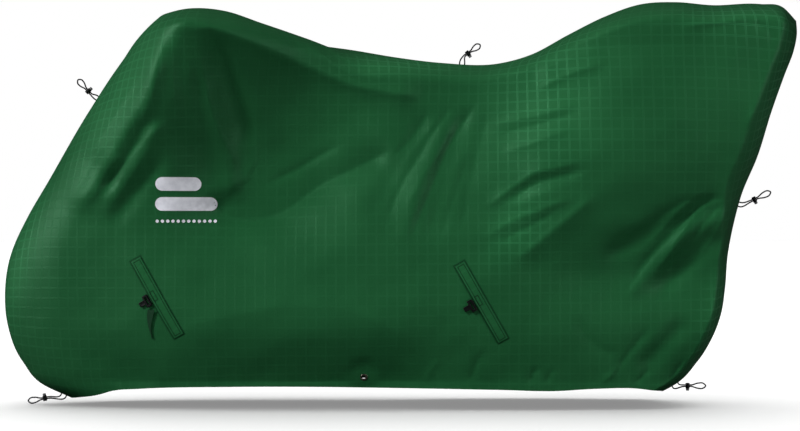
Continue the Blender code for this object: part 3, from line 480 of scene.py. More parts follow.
creases = [
    # front slope
    Fold(((-0.620, 0.980), (-0.628, 0.949), (-0.639, 0.909), (-0.660, 0.814), (-0.686, 0.747),
        (-0.734, 0.662), (-0.774, 0.594)), 0.055, 0.095, 0.0220),
    Fold(((-0.678, 0.938), (-0.729, 0.872), (-0.768, 0.806), (-0.816, 0.726), (-0.864, 0.665),
        (-0.909, 0.607), (-0.954, 0.527)), 0.016, 0.016, 0.0060),
    Fold(((-0.662, 0.885), (-0.705, 0.827), (-0.742, 0.768), (-0.792, 0.689),
        (-0.837, 0.615)), 0.008, 0.008, -0.0035),
    Fold(((-0.668, 0.867), (-0.716, 0.827), (-0.747, 0.774), (-0.790, 0.708),
        (-0.835, 0.647)), 0.014, 0.014, 0.0060),
    Fold(((-0.617, 0.758), (-0.649, 0.726), (-0.686, 0.686), (-0.726, 0.639),
        (-0.758, 0.551)), 0.014, 0.018, 0.0070),
    Fold(((-0.662, 0.731), (-0.705, 0.673), (-0.747, 0.615), (-0.790, 0.551)), 0.014, 0.014, -0.0070),
    Fold(((-0.729, 0.673), (-0.776, 0.615), (-0.822, 0.527)), 0.014, 0.014, 0.0050),
    Fold(((-0.763, 0.700), (-0.806, 0.633), (-0.853, 0.541)), 0.012, 0.012, -0.0050),
    # hollow under the handlebar, with the ridge above it and the crisp valley below
    Fold(((-0.647, 0.943), (-0.623, 0.959), (-0.583, 0.967), (-0.535, 0.965), (-0.493, 0.949),
        (-0.440, 0.930), (-0.366, 0.904), (-0.265, 0.874), (-0.159, 0.851), (-0.040, 0.829),
        (0.066, 0.811)), 0.030, 0.034, 0.0150),
    Fold(((-0.514, 0.970), (-0.493, 0.922), (-0.466, 0.877), (-0.443, 0.829), (-0.421, 0.779),
        (-0.403, 0.731), (-0.390, 0.686)), 0.022, 0.026, -0.0095),
    Fold(((-0.562, 0.912), (-0.556, 0.845), (-0.546, 0.779), (-0.535, 0.673)), 0.010, 0.012, 0.0040),
    Fold(((-0.535, 0.912), (-0.514, 0.837), (-0.493, 0.768), (-0.466, 0.705), (-0.443, 0.652),
        (-0.432, 0.588)), 0.012, 0.016, 0.0075),
    Fold(((-0.604, 0.906), (-0.602, 0.845), (-0.596, 0.784)), 0.008, 0.008, 0.0025),
    Fold(((-0.366, 0.575), (-0.318, 0.599), (-0.281, 0.617), (-0.201, 0.665),
        (-0.143, 0.694)), 0.016, 0.013, -0.0060),
    Fold(((-0.514, 0.567), (-0.485, 0.522), (-0.451, 0.493), (-0.400, 0.485), (-0.342, 0.496),
        (-0.291, 0.519), (-0.249, 0.551), (-0.196, 0.586), (-0.119, 0.623), (-0.066, 0.649),
        (-0.016, 0.684)), 0.075, 0.062, -0.0235),
    # under the top seam
    Fold(((-0.366, 0.994), (-0.297, 0.967), (-0.228, 0.935), (-0.172, 0.909), (-0.119, 0.893),
        (-0.040, 0.890), (0.042, 0.896)), 0.006, 0.007, -0.0034),
    Fold(((-0.498, 0.986), (-0.398, 0.970), (-0.291, 0.943), (-0.172, 0.890),
        (0.000, 0.861)), 0.012, 0.012, 0.0035),
    # fan below the saddle
    Fold(((0.077, 0.792), (0.058, 0.745), (0.016, 0.689), (-0.026, 0.647)), 0.012, 0.012, -0.0036),
    Fold(((0.146, 0.806), (0.122, 0.768), (0.087, 0.718), (0.050, 0.655), (0.008, 0.588),
        (-0.021, 0.525), (-0.037, 0.456)), 0.012, 0.014, -0.0056),
    Fold(((0.204, 0.814), (0.178, 0.761), (0.143, 0.708), (0.117, 0.660), (0.098, 0.609),
        (0.064, 0.525), (0.021, 0.424)), 0.012, 0.016, -0.0060),
    Fold(((0.156, 0.779), (0.125, 0.710), (0.095, 0.655), (0.053, 0.588),
        (0.011, 0.503)), 0.011, 0.012, 0.0026),
    Fold(((0.111, 0.774), (0.080, 0.731), (0.037, 0.673), (-0.005, 0.615)), 0.011, 0.012, 0.0024),
    Fold(((0.236, 0.790), (0.223, 0.739), (0.209, 0.689), (0.196, 0.636), (0.183, 0.583),
        (0.167, 0.498), (0.146, 0.435)), 0.050, 0.060, -0.0090),
    Fold(((0.185, 0.673), (0.159, 0.594), (0.127, 0.501), (0.095, 0.408)), 0.016, 0.016, -0.0040),
    # steps up to the load
    Fold(((0.236, 0.737), (0.286, 0.750), (0.366, 0.766), (0.424, 0.782),
        (0.488, 0.798)), 0.010, 0.014, 0.0042),
    Fold(((0.249, 0.710), (0.307, 0.726), (0.355, 0.737), (0.421, 0.758),
        (0.482, 0.774)), 0.010, 0.010, -0.0034),
    Fold(((0.265, 0.668), (0.294, 0.676), (0.342, 0.689), (0.395, 0.710),
        (0.466, 0.731)), 0.010, 0.014, 0.0046),
    Fold(((0.212, 0.522), (0.244, 0.533), (0.278, 0.559), (0.318, 0.586), (0.358, 0.612),
        (0.413, 0.625), (0.498, 0.647)), 0.016, 0.018, 0.0080),
    Fold(((0.265, 0.527), (0.313, 0.554), (0.355, 0.580), (0.398, 0.594), (0.448, 0.607),
        (0.509, 0.625)), 0.014, 0.013, -0.0070),
    Fold(((0.207, 0.435), (0.244, 0.453), (0.294, 0.482), (0.371, 0.514), (0.424, 0.535),
        (0.482, 0.551)), 0.016, 0.016, 0.0060),
    Fold(((0.254, 0.427), (0.323, 0.461), (0.379, 0.490), (0.424, 0.517)), 0.012, 0.012, -0.0050),
    Fold(((0.291, 0.376), (0.323, 0.395), (0.366, 0.427), (0.416, 0.469), (0.458, 0.503),
        (0.493, 0.533), (0.525, 0.567)), 0.020, 0.030, 0.0090),
    Fold(((0.352, 0.877), (0.451, 0.917), (0.541, 0.943)), 0.011, 0.011, 0.0035),
    Fold(((0.358, 0.832), (0.456, 0.877), (0.562, 0.912)), 0.012, 0.016, 0.0055),
    # rear top corner
    Fold(((0.737, 0.999), (0.835, 1.010), (0.930, 1.020)), 0.008, 0.008, 0.0040),
    Fold(((0.697, 1.020), (0.795, 1.033), (0.882, 1.028)), 0.008, 0.008, -0.0040),
    Fold(((0.933, 1.012), (0.975, 0.991), (0.996, 0.954)), 0.009, 0.009, -0.0035),
    Fold(((1.018, 0.975), (0.994, 0.896), (0.970, 0.832), (0.906, 0.713)), 0.016, 0.016, 0.0060),
    # pulled from the rear drawcord
    Fold(((0.872, 0.543), (0.824, 0.549), (0.768, 0.501), (0.726, 0.456), (0.678, 0.408),
        (0.620, 0.331), (0.588, 0.276)), 0.014, 0.014, -0.0085),
    Fold(((0.877, 0.533), (0.853, 0.527), (0.816, 0.493), (0.774, 0.437), (0.726, 0.376),
        (0.689, 0.318)), 0.013, 0.013, -0.0085),
    Fold(((0.872, 0.535), (0.803, 0.522), (0.750, 0.456), (0.708, 0.390),
        (0.662, 0.334)), 0.011, 0.011, 0.0060),
    Fold(((0.872, 0.551), (0.790, 0.551), (0.739, 0.511), (0.689, 0.458),
        (0.641, 0.411)), 0.013, 0.013, 0.0060),
    Fold(((0.827, 0.551), (0.768, 0.541), (0.697, 0.503), (0.649, 0.464), (0.599, 0.435),
        (0.551, 0.397)), 0.016, 0.016, -0.0070),
    Fold(((0.872, 0.525), (0.853, 0.482), (0.824, 0.435), (0.784, 0.376)), 0.011, 0.011, 0.0050),
    Fold(((0.872, 0.509), (0.853, 0.448), (0.837, 0.387)), 0.010, 0.010, -0.0050),
    # lower rear
    Fold(((0.464, 0.236), (0.493, 0.183), (0.541, 0.143), (0.599, 0.125)), 0.013, 0.020, -0.0045),
    Fold(((0.668, 0.207), (0.649, 0.185), (0.620, 0.151), (0.594, 0.117),
        (0.562, 0.064)), 0.011, 0.014, -0.0050),
    Fold(((0.753, 0.117), (0.737, 0.095), (0.716, 0.058)), 0.010, 0.010, -0.0045),
    Fold(((0.662, 0.095), (0.647, 0.077), (0.625, 0.053)), 0.009, 0.009, -0.0045),
    # hem
    Fold(((-0.604, 0.185), (-0.556, 0.207), (-0.472, 0.228), (-0.398, 0.244), (-0.318, 0.260),
        (-0.217, 0.260), (-0.133, 0.249), (-0.053, 0.212), (0.053, 0.167)), 0.060, 0.050, 0.0040),
    Fold(((0.345, 0.053), (0.352, 0.074), (0.366, 0.101)), 0.008, 0.008, -0.0040),
    Fold(((0.390, 0.053), (0.395, 0.072), (0.408, 0.095)), 0.008, 0.008, -0.0035),
    Fold(((0.185, 0.053), (0.196, 0.090), (0.223, 0.143)), 0.010, 0.010, -0.0035),
    Fold(((0.530, 0.053), (0.562, 0.079), (0.588, 0.111)), 0.010, 0.010, 0.0035),
    Fold(((0.064, 0.050), (0.080, 0.085), (0.106, 0.122)), 0.010, 0.010, 0.0025),
]
farCreases = [
    Fold(((-0.64, 0.90), (-0.76, 0.72), (-0.90, 0.50)), 0.040, 0.040, 0.006),
    Fold(((-0.60, 0.80), (-0.70, 0.64), (-0.80, 0.48)), 0.034, 0.034, -0.007),
    Fold(((-0.46, 0.86), (-0.44, 0.72), (-0.40, 0.56)), 0.030, 0.030, -0.006),
    Fold(((-0.44, 0.50), (-0.18, 0.57), (0.06, 0.74)), 0.060, 0.022, -0.009),
    Fold(((0.08, 0.78), (0.00, 0.62), (-0.06, 0.42)), 0.026, 0.026, -0.007),
    Fold(((0.14, 0.79), (0.09, 0.62), (0.04, 0.40)), 0.026, 0.026, 0.007),
    Fold(((0.20, 0.80), (0.17, 0.64), (0.15, 0.46)), 0.028, 0.028, -0.006),
    Fold(((0.30, 0.58), (0.44, 0.64), (0.60, 0.70)), 0.030, 0.030, -0.008),
    Fold(((0.34, 0.80), (0.46, 0.86), (0.60, 0.90)), 0.034, 0.034, 0.007),
    Fold(((0.86, 0.54), (0.72, 0.46), (0.56, 0.38)), 0.026, 0.026, -0.008),
    Fold(((0.86, 0.48), (0.74, 0.36), (0.64, 0.24)), 0.028, 0.028, 0.007),
    Fold(((-0.80, 0.30), (-0.60, 0.22), (-0.38, 0.20)), 0.050, 0.050, 0.006),
    Fold(((0.20, 0.24), (0.40, 0.20), (0.58, 0.26)), 0.050, 0.050, -0.006),
]

shape = {
    "thickness": 0.0012,  # of the cloth that is seen
    "cadThickness": 0.002,
    "gap": 0.0003,  # between pieces that touch
    "crownReach": 0.025,
    "crownFade": 0.28,
    "frontTurn": 0.15,  # how far inside the front edge the cloth has turned to face the side
    "frontCrownTurn": 0.04,
    "rearTurn": (0.026, 0.052),  # the same at the rear, low down and high up
    "rearTurnHeights": (0.40, 0.62),
    "hemBand": 0.0585,  # share of the height that the hem band takes
    "pucker": 0.0011,  # gathers along the seam
    "puckerReach": 0.045,
    "puckerStart": 0.02,
    "puckerPitch": 0.017,
    "gather": 0.0020,  # gathers along the hem
    "gatherReach": 0.050,
    "gatherPitch": 0.020,
    "gatherLean": 0.35,
    "gatherMean": 0.3,
    "uneven": 0.0007,  # slight unevenness all over
    "plainCreases": 0.3,  # share of the creases' height in the net that is laid flat
}
ridge = {
    "steep": 1.25,
    "tip": 0.22,  # rounded over this share of its width
    "tipLimit": 0.0035,
    "cells": 4,  # for each point of its route
    "fade": 0.07,  # from each end
    "fadeLimit": 0.25,  # of its length
    "reach": 4,  # times its width
}
waves = {"count": 36, "lengths": (0.045, 0.150), "typical": 0.09, "share": 1 / 6}  # of the unevenness
pleats = {"count": 400, "pitches": (0.6, 1.5), "sizes": (0.25, 1.0), "start": -3.0}  # of the gathers
eyelet = {
    "along": -0.096,
    "height": 0.071,
    "lean": 0.36,  # how far the cloth round it comes out for each metre that it rises
    "flat": 0.022,  # radius in which the cloth is flat, and where it ends
    "flatEnd": 0.060,
    "cut": 0.0065,  # radius of the hole in the cloth
    "hole": 0.005,  # radius of the eyelet's own hole
    "barrel": 0.0061,
    "flange": 0.00925,
    "thickness": 0.0012,
    "dished": 0.92,  # height of its face between the two rolled edges, as a share of their height
    "steps": 56,
    "cutSteps": 48,
    "cutDepth": 0.03,
}


def toWorld(along, height, out):
    nearer = (view["distance"] - out) / view["distance"]
    eye = view["eyeHeight"]
    z = eye + (height - eye) * nearer - view["originHeight"]
    return np.stack(np.broadcast_arrays(along * nearer, -out, z), axis=-1)


def spread(values, like):
    # the same values with as many dimensions as like has
    return values.reshape(values.shape + (1,) * (like.ndim - values.ndim))


def joined(knots, values, cell, f, pick):
    # smooth curves through values at knots, read inside the given cells
    steps = spread(np.diff(knots), values)
    chords = np.diff(values, axis=0) / steps
    inner = (chords[:-1] * steps[1:] + chords[1:] * steps[:-1]) / (steps[1:] + steps[:-1])
    slopes = np.concatenate([chords[:1], inner, chords[-1:]])
    span = pick(np.broadcast_to(steps, chords.shape), cell)
    return (
        pick(values, cell) * (2 * f**3 - 3 * f**2 + 1)
        + pick(values, cell + 1) * (3 * f**2 - 2 * f**3)
        + span * pick(slopes, cell) * (f**3 - 2 * f**2 + f)
        + span * pick(slopes, cell + 1) * (f**3 - f**2)
    )


def findCell(knots, at):
    at = np.clip(at, knots[0], knots[-1])
    cell = np.clip(np.searchsorted(knots, at, side="right") - 1, 0, len(knots) - 2)
    return cell, (at - knots[cell]) / np.diff(knots)[cell]


def cubic(knots, values, at):
    knots, values = np.asarray(knots, float), np.asarray(values, float)
    cell, f = findCell(knots, np.asarray(at, float))
    f = f.reshape(f.shape + (1,) * (values.ndim - 1))
    return joined(knots, values, cell, f, lambda table, index: table[index])


def smoothRoute(route, count):
    reach = np.append(0, np.cumsum(np.linalg.norm(np.diff(route, axis=0), axis=1)))
    return cubic(reach, route, np.linspace(0, reach[-1], count))


def sideEdge(edge, t):
    along, height = np.array(edge).T
    at = height[0] + t * (height[-1] - height[0])
    return cubic(height, along, at), at


def longEdge(edge, s):
    along, height = np.array(edge).T
    at = along[0] + s * (along[-1] - along[0])
    return at, cubic(along, height, at)


def sideView(s, t):
    # s runs front to rear and t from the hem to the top seam
    along = (1 - s) * sideEdge(frontEdge, t)[0] + s * sideEdge(rearEdge, t)[0]
    height = (1 - t) * longEdge(hemEdge, s)[1] + t * longEdge(topEdge, s)[1]
    return along, height


def roundOver(distance, reach):
    return np.sqrt(np.clip(1 - (1 - np.clip(distance / reach, 0, 1)) ** 2, 0, 1))


def ease(x):
    x = np.clip(x, 0, 1)
    return x * x * (3 - 2 * x)


def sectionValue(along, column):
    rows = np.array(sections)
    return cubic(rows[:, 0], rows[:, column], along)


def openWidth(along, height):
    along = np.asarray(along, float)
    widths = np.stack([sectionValue(along, column) for column in range(1, turnColumn)])
    cell, f = findCell(np.array(widthHeights), np.asarray(height, float))
    return joined(
        np.array(widthHeights), widths, cell, f,
        lambda table, index: np.take_along_axis(table, index[None], axis=0)[0],
    )


def crisp(distance, width):
    # a rounded ridge with hollow flanks, as a pulled fold of thin cloth has
    tip = np.minimum(ridge["tip"] * width, ridge["tipLimit"])
    return np.exp(-ridge["steep"] * (np.hypot(distance, tip) - tip) / width)


def smoothRidge(distance, width):
    return np.exp(-((distance / width) ** 2))


def foldHeight(along, height, folds, profile):
    total = np.zeros(along.size)
    flatAlong, flatHeight = along.ravel(), height.ravel()
    for fold in folds:
        parts = max(8, ridge["cells"] * (len(fold.route) - 1))
        route = smoothRoute(np.array(fold.route), parts + 1)
        length = np.linalg.norm(np.diff(route, axis=0), axis=1).sum()
        fade = min(ridge["fadeLimit"], ridge["fade"] / length)
        reach = ridge["reach"] * max(fold.left, fold.right)
        low, high = route.min(axis=0) - reach, route.max(axis=0) + reach
        inside = (flatAlong > low[0]) & (flatAlong < high[0])
        inside &= (flatHeight > low[1]) & (flatHeight < high[1])
        x, z = flatAlong[inside], flatHeight[inside]
        nearest, share, side = np.full(x.shape, np.inf), np.zeros(x.shape), np.zeros(x.shape)
        for i, (a, b) in enumerate(zip(route[:-1], route[1:])):
            step = b - a
            dx, dz = x - a[0], z - a[1]
            g = np.clip((dx * step[0] + dz * step[1]) / (step @ step), 0, 1)
            distance = np.hypot(dx - g * step[0], dz - g * step[1])
            closer = distance < nearest
            nearest = np.where(closer, distance, nearest)
            share = np.where(closer, (i + g) / parts, share)
            side = np.where(closer, step[0] * dz - step[1] * dx, side)
        taper = ease(share / fade) * ease((1 - share) / fade)
        width = np.where(side > 0, fold.left, fold.right)
        total[inside] += fold.height * taper * profile(nearest, width)
    return total.reshape(along.shape)


def unevenness(along, height, seed):
    # a few dozen faint waves in all directions
    chance = np.random.default_rng(seed)
    total = np.zeros_like(along)
    for _ in range(waves["count"]):
        length = chance.uniform(*waves["lengths"])
        angle = chance.uniform(0, math.pi)
        phase = chance.uniform(0, math.tau)
        across = along * math.cos(angle) + height * math.sin(angle)
        total += length / waves["typical"] * np.sin(math.tau * across / length + phase)
    return total * waves["share"]


def gathers(place, seed, pitch):
    # irregular pleats along a line, from 0 to 1
    chance = np.random.default_rng(seed)
    count = pleats["count"]
    knots = np.cumsum(chance.uniform(*pleats["pitches"], count) * pitch) + pleats["start"]
    sizes = chance.uniform(*pleats["sizes"], count)
    return cubic(knots, sizes * (np.arange(count) % 2), place)


def fromEdges(s, t, along, height):
    front, rear, top = sideEdge(frontEdge, t), sideEdge(rearEdge, t), longEdge(topEdge, s)
    return [np.hypot(along - edge[0], height - edge[1]) for edge in (front, rear, top)]


def eyeletFlat(along, height):
    away = np.hypot(along - eyelet["along"], height - eyelet["height"])
    return 1 - ease((away - eyelet["flat"]) / (eyelet["flatEnd"] - eyelet["flat"]))


def eyeletOut():
    return float(openWidth(eyelet["along"], eyelet["height"]))


def clothOut(s, t, side, plain=False):
    # where each point is seen, and how far it stands out from the middle plane
    along, height = sideView(s, t)
    fromFront, fromRear, fromTop = fromEdges(s, t, along, height)
    low, high = shape["rearTurnHeights"]
    rearTurn = np.interp(ease((height - low) / (high - low)), (0, 1), shape["rearTurn"])
    rounding = roundOver(fromFront, shape["frontTurn"]) * roundOver(fromRear, rearTurn)
    rounding *= roundOver(fromTop, sectionValue(along, turnColumn))
    folds, seed = (mainFolds, 3) if side == "near" else (farCreases, 4)
    detail = foldHeight(along, height, folds, smoothRidge)
    if side == "near":
        share = shape["plainCreases"] if plain else 1
        detail += share * foldHeight(along, height, creases, crisp)
    small = 0 if plain else 1
    detail += small * shape["uneven"] * unevenness(along, height, seed)
    upward = height - longEdge(hemEdge, s)[1]
    hemFade = np.exp(-upward / shape["gatherReach"])
    gathered = gathers(along + shape["gatherLean"] * upward, seed + 10, shape["gatherPitch"])
    detail += small * shape["gather"] * hemFade * (gathered - shape["gatherMean"])
    out = (openWidth(along, height) + detail) * rounding
    nearest = np.minimum(fromTop, np.minimum(fromRear, fromFront))
    seamFade = np.exp(-nearest / shape["puckerReach"]) * roundOver(nearest, shape["puckerStart"])
    place = np.where(fromTop < np.minimum(fromFront, fromRear), along, height)
    puckered = gathers(place, seed + 20, shape["puckerPitch"])
    out += small * shape["pucker"] * seamFade * (puckered - shape["gatherMean"])
    flat = eyeletFlat(along, height)
    leaning = eyeletOut() + eyelet["lean"] * (height - eyelet["height"])
    out = out * (1 - flat) + leaning * flat
    lift = sectionValue(along, liftColumn) * ease(fromTop / shape["crownReach"])
    lift *= 1 - ease((fromTop - shape["crownReach"]) / shape["crownFade"])
    lift *= roundOver(fromFront, shape["frontCrownTurn"])
    return along, height + lift, out + shape["gap"] / 2


flapLook = {
    "length": 0.226,
    "width": 0.0285,
    "slant": math.radians(60.3),
    "off": 0.0006,  # the sewn edge's distance from the cloth
    "lift": 0.0048,  # the free edge's, at mid length
    "thickness": 0.0011,
    "fullness": 0.0009,
    "stitchInset": 0.0056,
    "stitchDepth": 0.0006,
    "stitchPitch": 0.0060,
    "stitchLength": 0.0038,
    "stitchRadius": 0.00060,
    "tackLength": 0.026,
    "tackWidth": 0.0095,
    "tackOff": (-0.008, 0.0045),  # of its middle, along and towards the free edge
    "edgeReach": 0.0045,  # over which the flap thins towards its edges
    "stitchReach": 0.0011,
    "tackDepth": 0.00048,
    "tackReach": 0.0010,
    "cells": (114, 24),
    "net": (9, 3),  # points at which the cloth under it is measured
    "rimShade": (0.0013, 0.80),  # reach and depth of colour of each line of painted shade
    "stitchShade": (0.0014, 0.70),
    "tackShade": (0.0015, 0.75),
    "coverShade": (0.0026, 0.75),
    "coverShadeOff": 0.0010,
}
flaps = [("front", -0.644, 0.2815), ("rear", 0.2162, 0.2692)]


def flapFrame(along, height):
    centre = toWorld(along, height, float(openWidth(along, height)))
    slant = flapLook["slant"]
    down = np.array([math.cos(slant), 0, -math.sin(slant)])
    free = np.array([-math.sin(slant), 0, -math.cos(slant)])
    return centre, down, free


def outlineMask(tree, along, across, halfLong, halfWide, reach):
    sizes = {
        "Along": calc(tree, "SUBTRACT", *along),
        "Across": calc(tree, "SUBTRACT", *across),
        "Half length": halfLong,
        "Half width": halfWide,
        "Reach": reach,
    }
    return useGroup(tree, outline, sizes)["Mask"]


def pressedShadeRoundFlaps(tree, uv, place):
    # the cover is drawn in along the edges of the strap flaps sewn to it, and darkened there with painted
    # shade
    reach, share = flapLook["coverShade"]
    halfLong = flapLook["length"] / 2 + flapLook["coverShadeOff"]
    halfWide = flapLook["width"] / 2 + flapLook["coverShadeOff"]
    masks = []
    for _, along, height in flaps:
        centre, down, free = flapFrame(along, height)
        spots = []
        for direction in (down, free):
            measured = vectorCalc(tree, "DOT_PRODUCT", place, tuple(direction))["Value"]
            spots.append((measured, float(centre @ direction)))
        masks.append((outlineMask(tree, *spots, halfLong, halfWide, reach), share))
    return masks


def pressedShadeOnFlap(tree, uv, place):
    # painted shade on the flap's rim, along the row of stitches inside it and round the box at its middle,
    # each also pressed in by the bump
    split = addNode(tree, "ShaderNodeSeparateXYZ", {0: uv}).outputs
    halfLong, halfWide, inset = flapLook["length"] / 2, flapLook["width"] / 2, flapLook["stitchInset"]
    rows = [
        (halfLong, halfWide, (0, 0), flapLook["rimShade"]),
        (halfLong - inset, halfWide - inset, (0, 0), flapLook["stitchShade"]),
        (flapLook["tackLength"] / 2, flapLook["tackWidth"] / 2, flapLook["tackOff"], flapLook["tackShade"]),
    ]
    masks = []
    for long, wide, middle, (reach, share) in rows:
        mask = outlineMask(tree, (split[0], middle[0]), (split[1], middle[1]), long, wide, reach)
        masks.append((mask, share))
    return masks


coverMaterial = makeCloth("green ripstop", pressedShadeRoundFlaps)
farMaterial = makeCloth("green ripstop, far side")
flapMaterial = makeCloth("green ripstop, strap flaps", pressedShadeOnFlap, 1.12)


def graded(lowReach, lowCells, cells, highReach, highCells):
    # shares from 0 to 1, closer together towards the ends that turn over
    low = [lowReach * (1 - math.cos(math.pi / 2 * i / lowCells)) for i in range(lowCells)]
    high = [1 - highReach * (1 - math.cos(math.pi / 2 * i / highCells)) for i in range(highCells)]
    return np.concatenate([low, np.linspace(lowReach, 1 - highReach, cells + 1), high[::-1]])


def seamOutward(s, t):
    # outward directions, in the middle plane, at the points of the perimeter seam
    small = 1e-3  # a step along the seam
    total = np.zeros((*s.shape, 3))
    lowT, highT = np.clip(t - small, 0, 1), np.clip(t + small, 0, 1)
    lowS, highS = np.clip(s - small, 0, 1), np.clip(s + small, 0, 1)
    runs = [
        (s == 0, sideEdge(frontEdge, lowT), sideEdge(frontEdge, highT)),
        (t == 1, longEdge(topEdge, lowS), longEdge(topEdge, highS)),
        (s == 1, sideEdge(rearEdge, highT), sideEdge(rearEdge, lowT)),
    ]
    for onRun, before, after in runs:
        step = toWorld(*after, 0) - toWorld(*before, 0)
        normal = np.stack([-step[..., 2], np.zeros_like(s), step[..., 0]], axis=-1)
        normal /= np.linalg.norm(normal, axis=-1, keepdims=True)
        total += np.where(onRun[..., None], normal, 0)
    return total / np.maximum(np.linalg.norm(total, axis=-1, keepdims=True), 1e-9)


def newObject(name, mesh, material):
    obj = bpy.data.objects.new(name, mesh)
    obj.data.materials.append(material)
    bpy.context.scene.collection.objects.link(obj)
    return obj


def setFlat(mesh, flat):
    # the cloth's own flat coordinates, in metres, one for each vertex
    corner = np.empty(len(mesh.loops), np.int32)
    mesh.loops.foreach_get("vertex_index", corner)
    layer = mesh.uv_layers.new(name="flat")
    layer.data.foreach_set("uv", flat[corner].astype(np.float32).ravel())


def twoSided(name, outer, inner, flat, material, turnedRound=False):
    # a closed thin sheet between two grids of points
    rows, columns = outer.shape[:2]
    count = rows * columns
    index = np.arange(count).reshape(rows, columns)
    a, b, c, d = index[:-1, :-1], index[:-1, 1:], index[1:, 1:], index[1:, :-1]
    outerFaces = np.stack([a, b, c, d], axis=-1).reshape(-1, 4)
    rim = np.concatenate([index[0], index[1:, -1], index[-1, -2::-1], index[-2:0:-1, 0]])
    ahead = np.roll(rim, -1)
    rimFaces = np.stack([ahead, rim, rim + count, ahead + count], axis=-1)
    faces = np.concatenate([outerFaces, outerFaces[:, ::-1] + count, rimFaces])
    if turnedRound:
        faces = faces[:, ::-1]
    mesh = bpy.data.meshes.new(name)
    points = np.concatenate([outer.reshape(-1, 3), inner.reshape(-1, 3)])
    mesh.from_pydata(points.tolist(), [], faces.tolist())
    setFlat(mesh, np.tile(flat.reshape(-1, 2), (2, 1)))
    mesh.shade_smooth()
    mesh.set_sharp_from_angle(angle=math.radians(50))
    return newObject(name, mesh, material)


def ride(piece, slot, *nodes):
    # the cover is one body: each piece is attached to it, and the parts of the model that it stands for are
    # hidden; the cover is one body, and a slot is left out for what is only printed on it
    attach(piece, "root")
    if nodes:
        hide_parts(*nodes)
    return piece


cordLook = {
    "radius": 0.0019,
    "sides": 10,
    "points": 120,
    "off": 0.0007,  # where it leaves the seam, and how far it goes straight out
    "out": 0.0040,
    "strand": 0.0021,  # a strand's centre from the lock's middle
    "neck": 0.0105,
    "halfWidth": 0.0068,
    "shoulders": (0.45, 0.80),  # where the loop is widest, as shares of the way from neck to tip
    "capAngles": (30, 60, 88),
}
lockLook = {
    "radius": 0.0055,
    "length": 0.0145,
    "edge": 0.0012,
    "dish": 0.0004,  # in its end, under the button
    "grooves": (0.0052, -0.0052),
    "grooveDeep": 0.0004,
    "grooveHalf": (0.0006, 0.0002),  # half its width at the surface and at its floor
    "slotLong": 0.0090,
    "slotWide": 0.0046,
    "buttonRadius": 0.0042,
    "buttonLength": 0.0052,
    "buttonEdge": 0.0009,
    "buttonDish": (0.45, 0.0004, 0.0005),  # its radius as a share, and its depth there and at its middle
    "steps": 40,
}
Loop = namedtuple("Loop", "name edge share spread lock tip")
loops = [
    Loop("front", "front", 0.809, 0.0115, (-0.826, 0.829), (-0.853, 0.859)),
    Loop("top", "top", 0.476, 0.0135, (0.180, 0.929), (0.212, 0.952)),
    Loop("rear", "rear", 0.505, 0.0115, (0.939, 0.542), (0.982, 0.562)),
    Loop("front_hem", "front", 0.0095, 0.0140, (-0.941, 0.0155), (-0.985, 0.008)),
    Loop("rear_hem", "rear", 0.018, 0.0180, (0.762, 0.0485), (0.810, 0.0485)),
]


def seamPlace(loop):
    # where the loop's two ends leave the seam, and how the seam runs there
    runs = {"front": (sideEdge, frontEdge), "top": (longEdge, topEdge), "rear": (sideEdge, rearEdge)}
    read, edge = runs[loop.edge]

    def twoSpots(half):
        return [toWorld(*read(edge, np.array(loop.share + step)), 0) for step in (-half, half)]

    small = 1e-3
    before, after = twoSpots(small)
    rate = (after - before) / (2 * small)
    return twoSpots(loop.spread / 2 / np.linalg.norm(rate)), rate


def loopRoute(loop):
    # out of the seam, through the lock, round and back
    lock, tip = (toWorld(*spot, 0) for spot in (loop.lock, loop.tip))
    reach = np.linalg.norm(tip - lock)
    ahead = (tip - lock) / reach
    across = np.array([-ahead[2], 0, ahead[0]])
    exits, rate = seamPlace(loop)
    outward = np.array([-rate[2], 0, rate[0]]) / np.linalg.norm(rate)
    if loop.edge == "rear":
        outward = -outward
    side = 1 if (exits[1] - exits[0]) @ across > 0 else -1
    neck = cordLook["neck"]
    strands = []
    for k, sign in ((0, -side), (1, side)):
        beside = across * sign * cordLook["strand"]
        wide = across * sign * cordLook["halfWidth"]
        strand = [exits[k] + outward * cordLook[distance] for distance in ("off", "out")]
        strand += [lock + ahead * distance + beside for distance in (-neck, 0, neck)]
        strand += [lock + ahead * (neck + (reach - neck) * f) + wide for f in cordLook["shoulders"]]
        strands.append(strand)
    return np.array(strands[0] + [tip] + strands[1][::-1]), lock, ahead


def turnOutward(work, mesh):
    bmesh.ops.recalc_face_normals(work, faces=work.faces[:])
    work.to_mesh(mesh)
    work.free()
    mesh.shade_smooth()


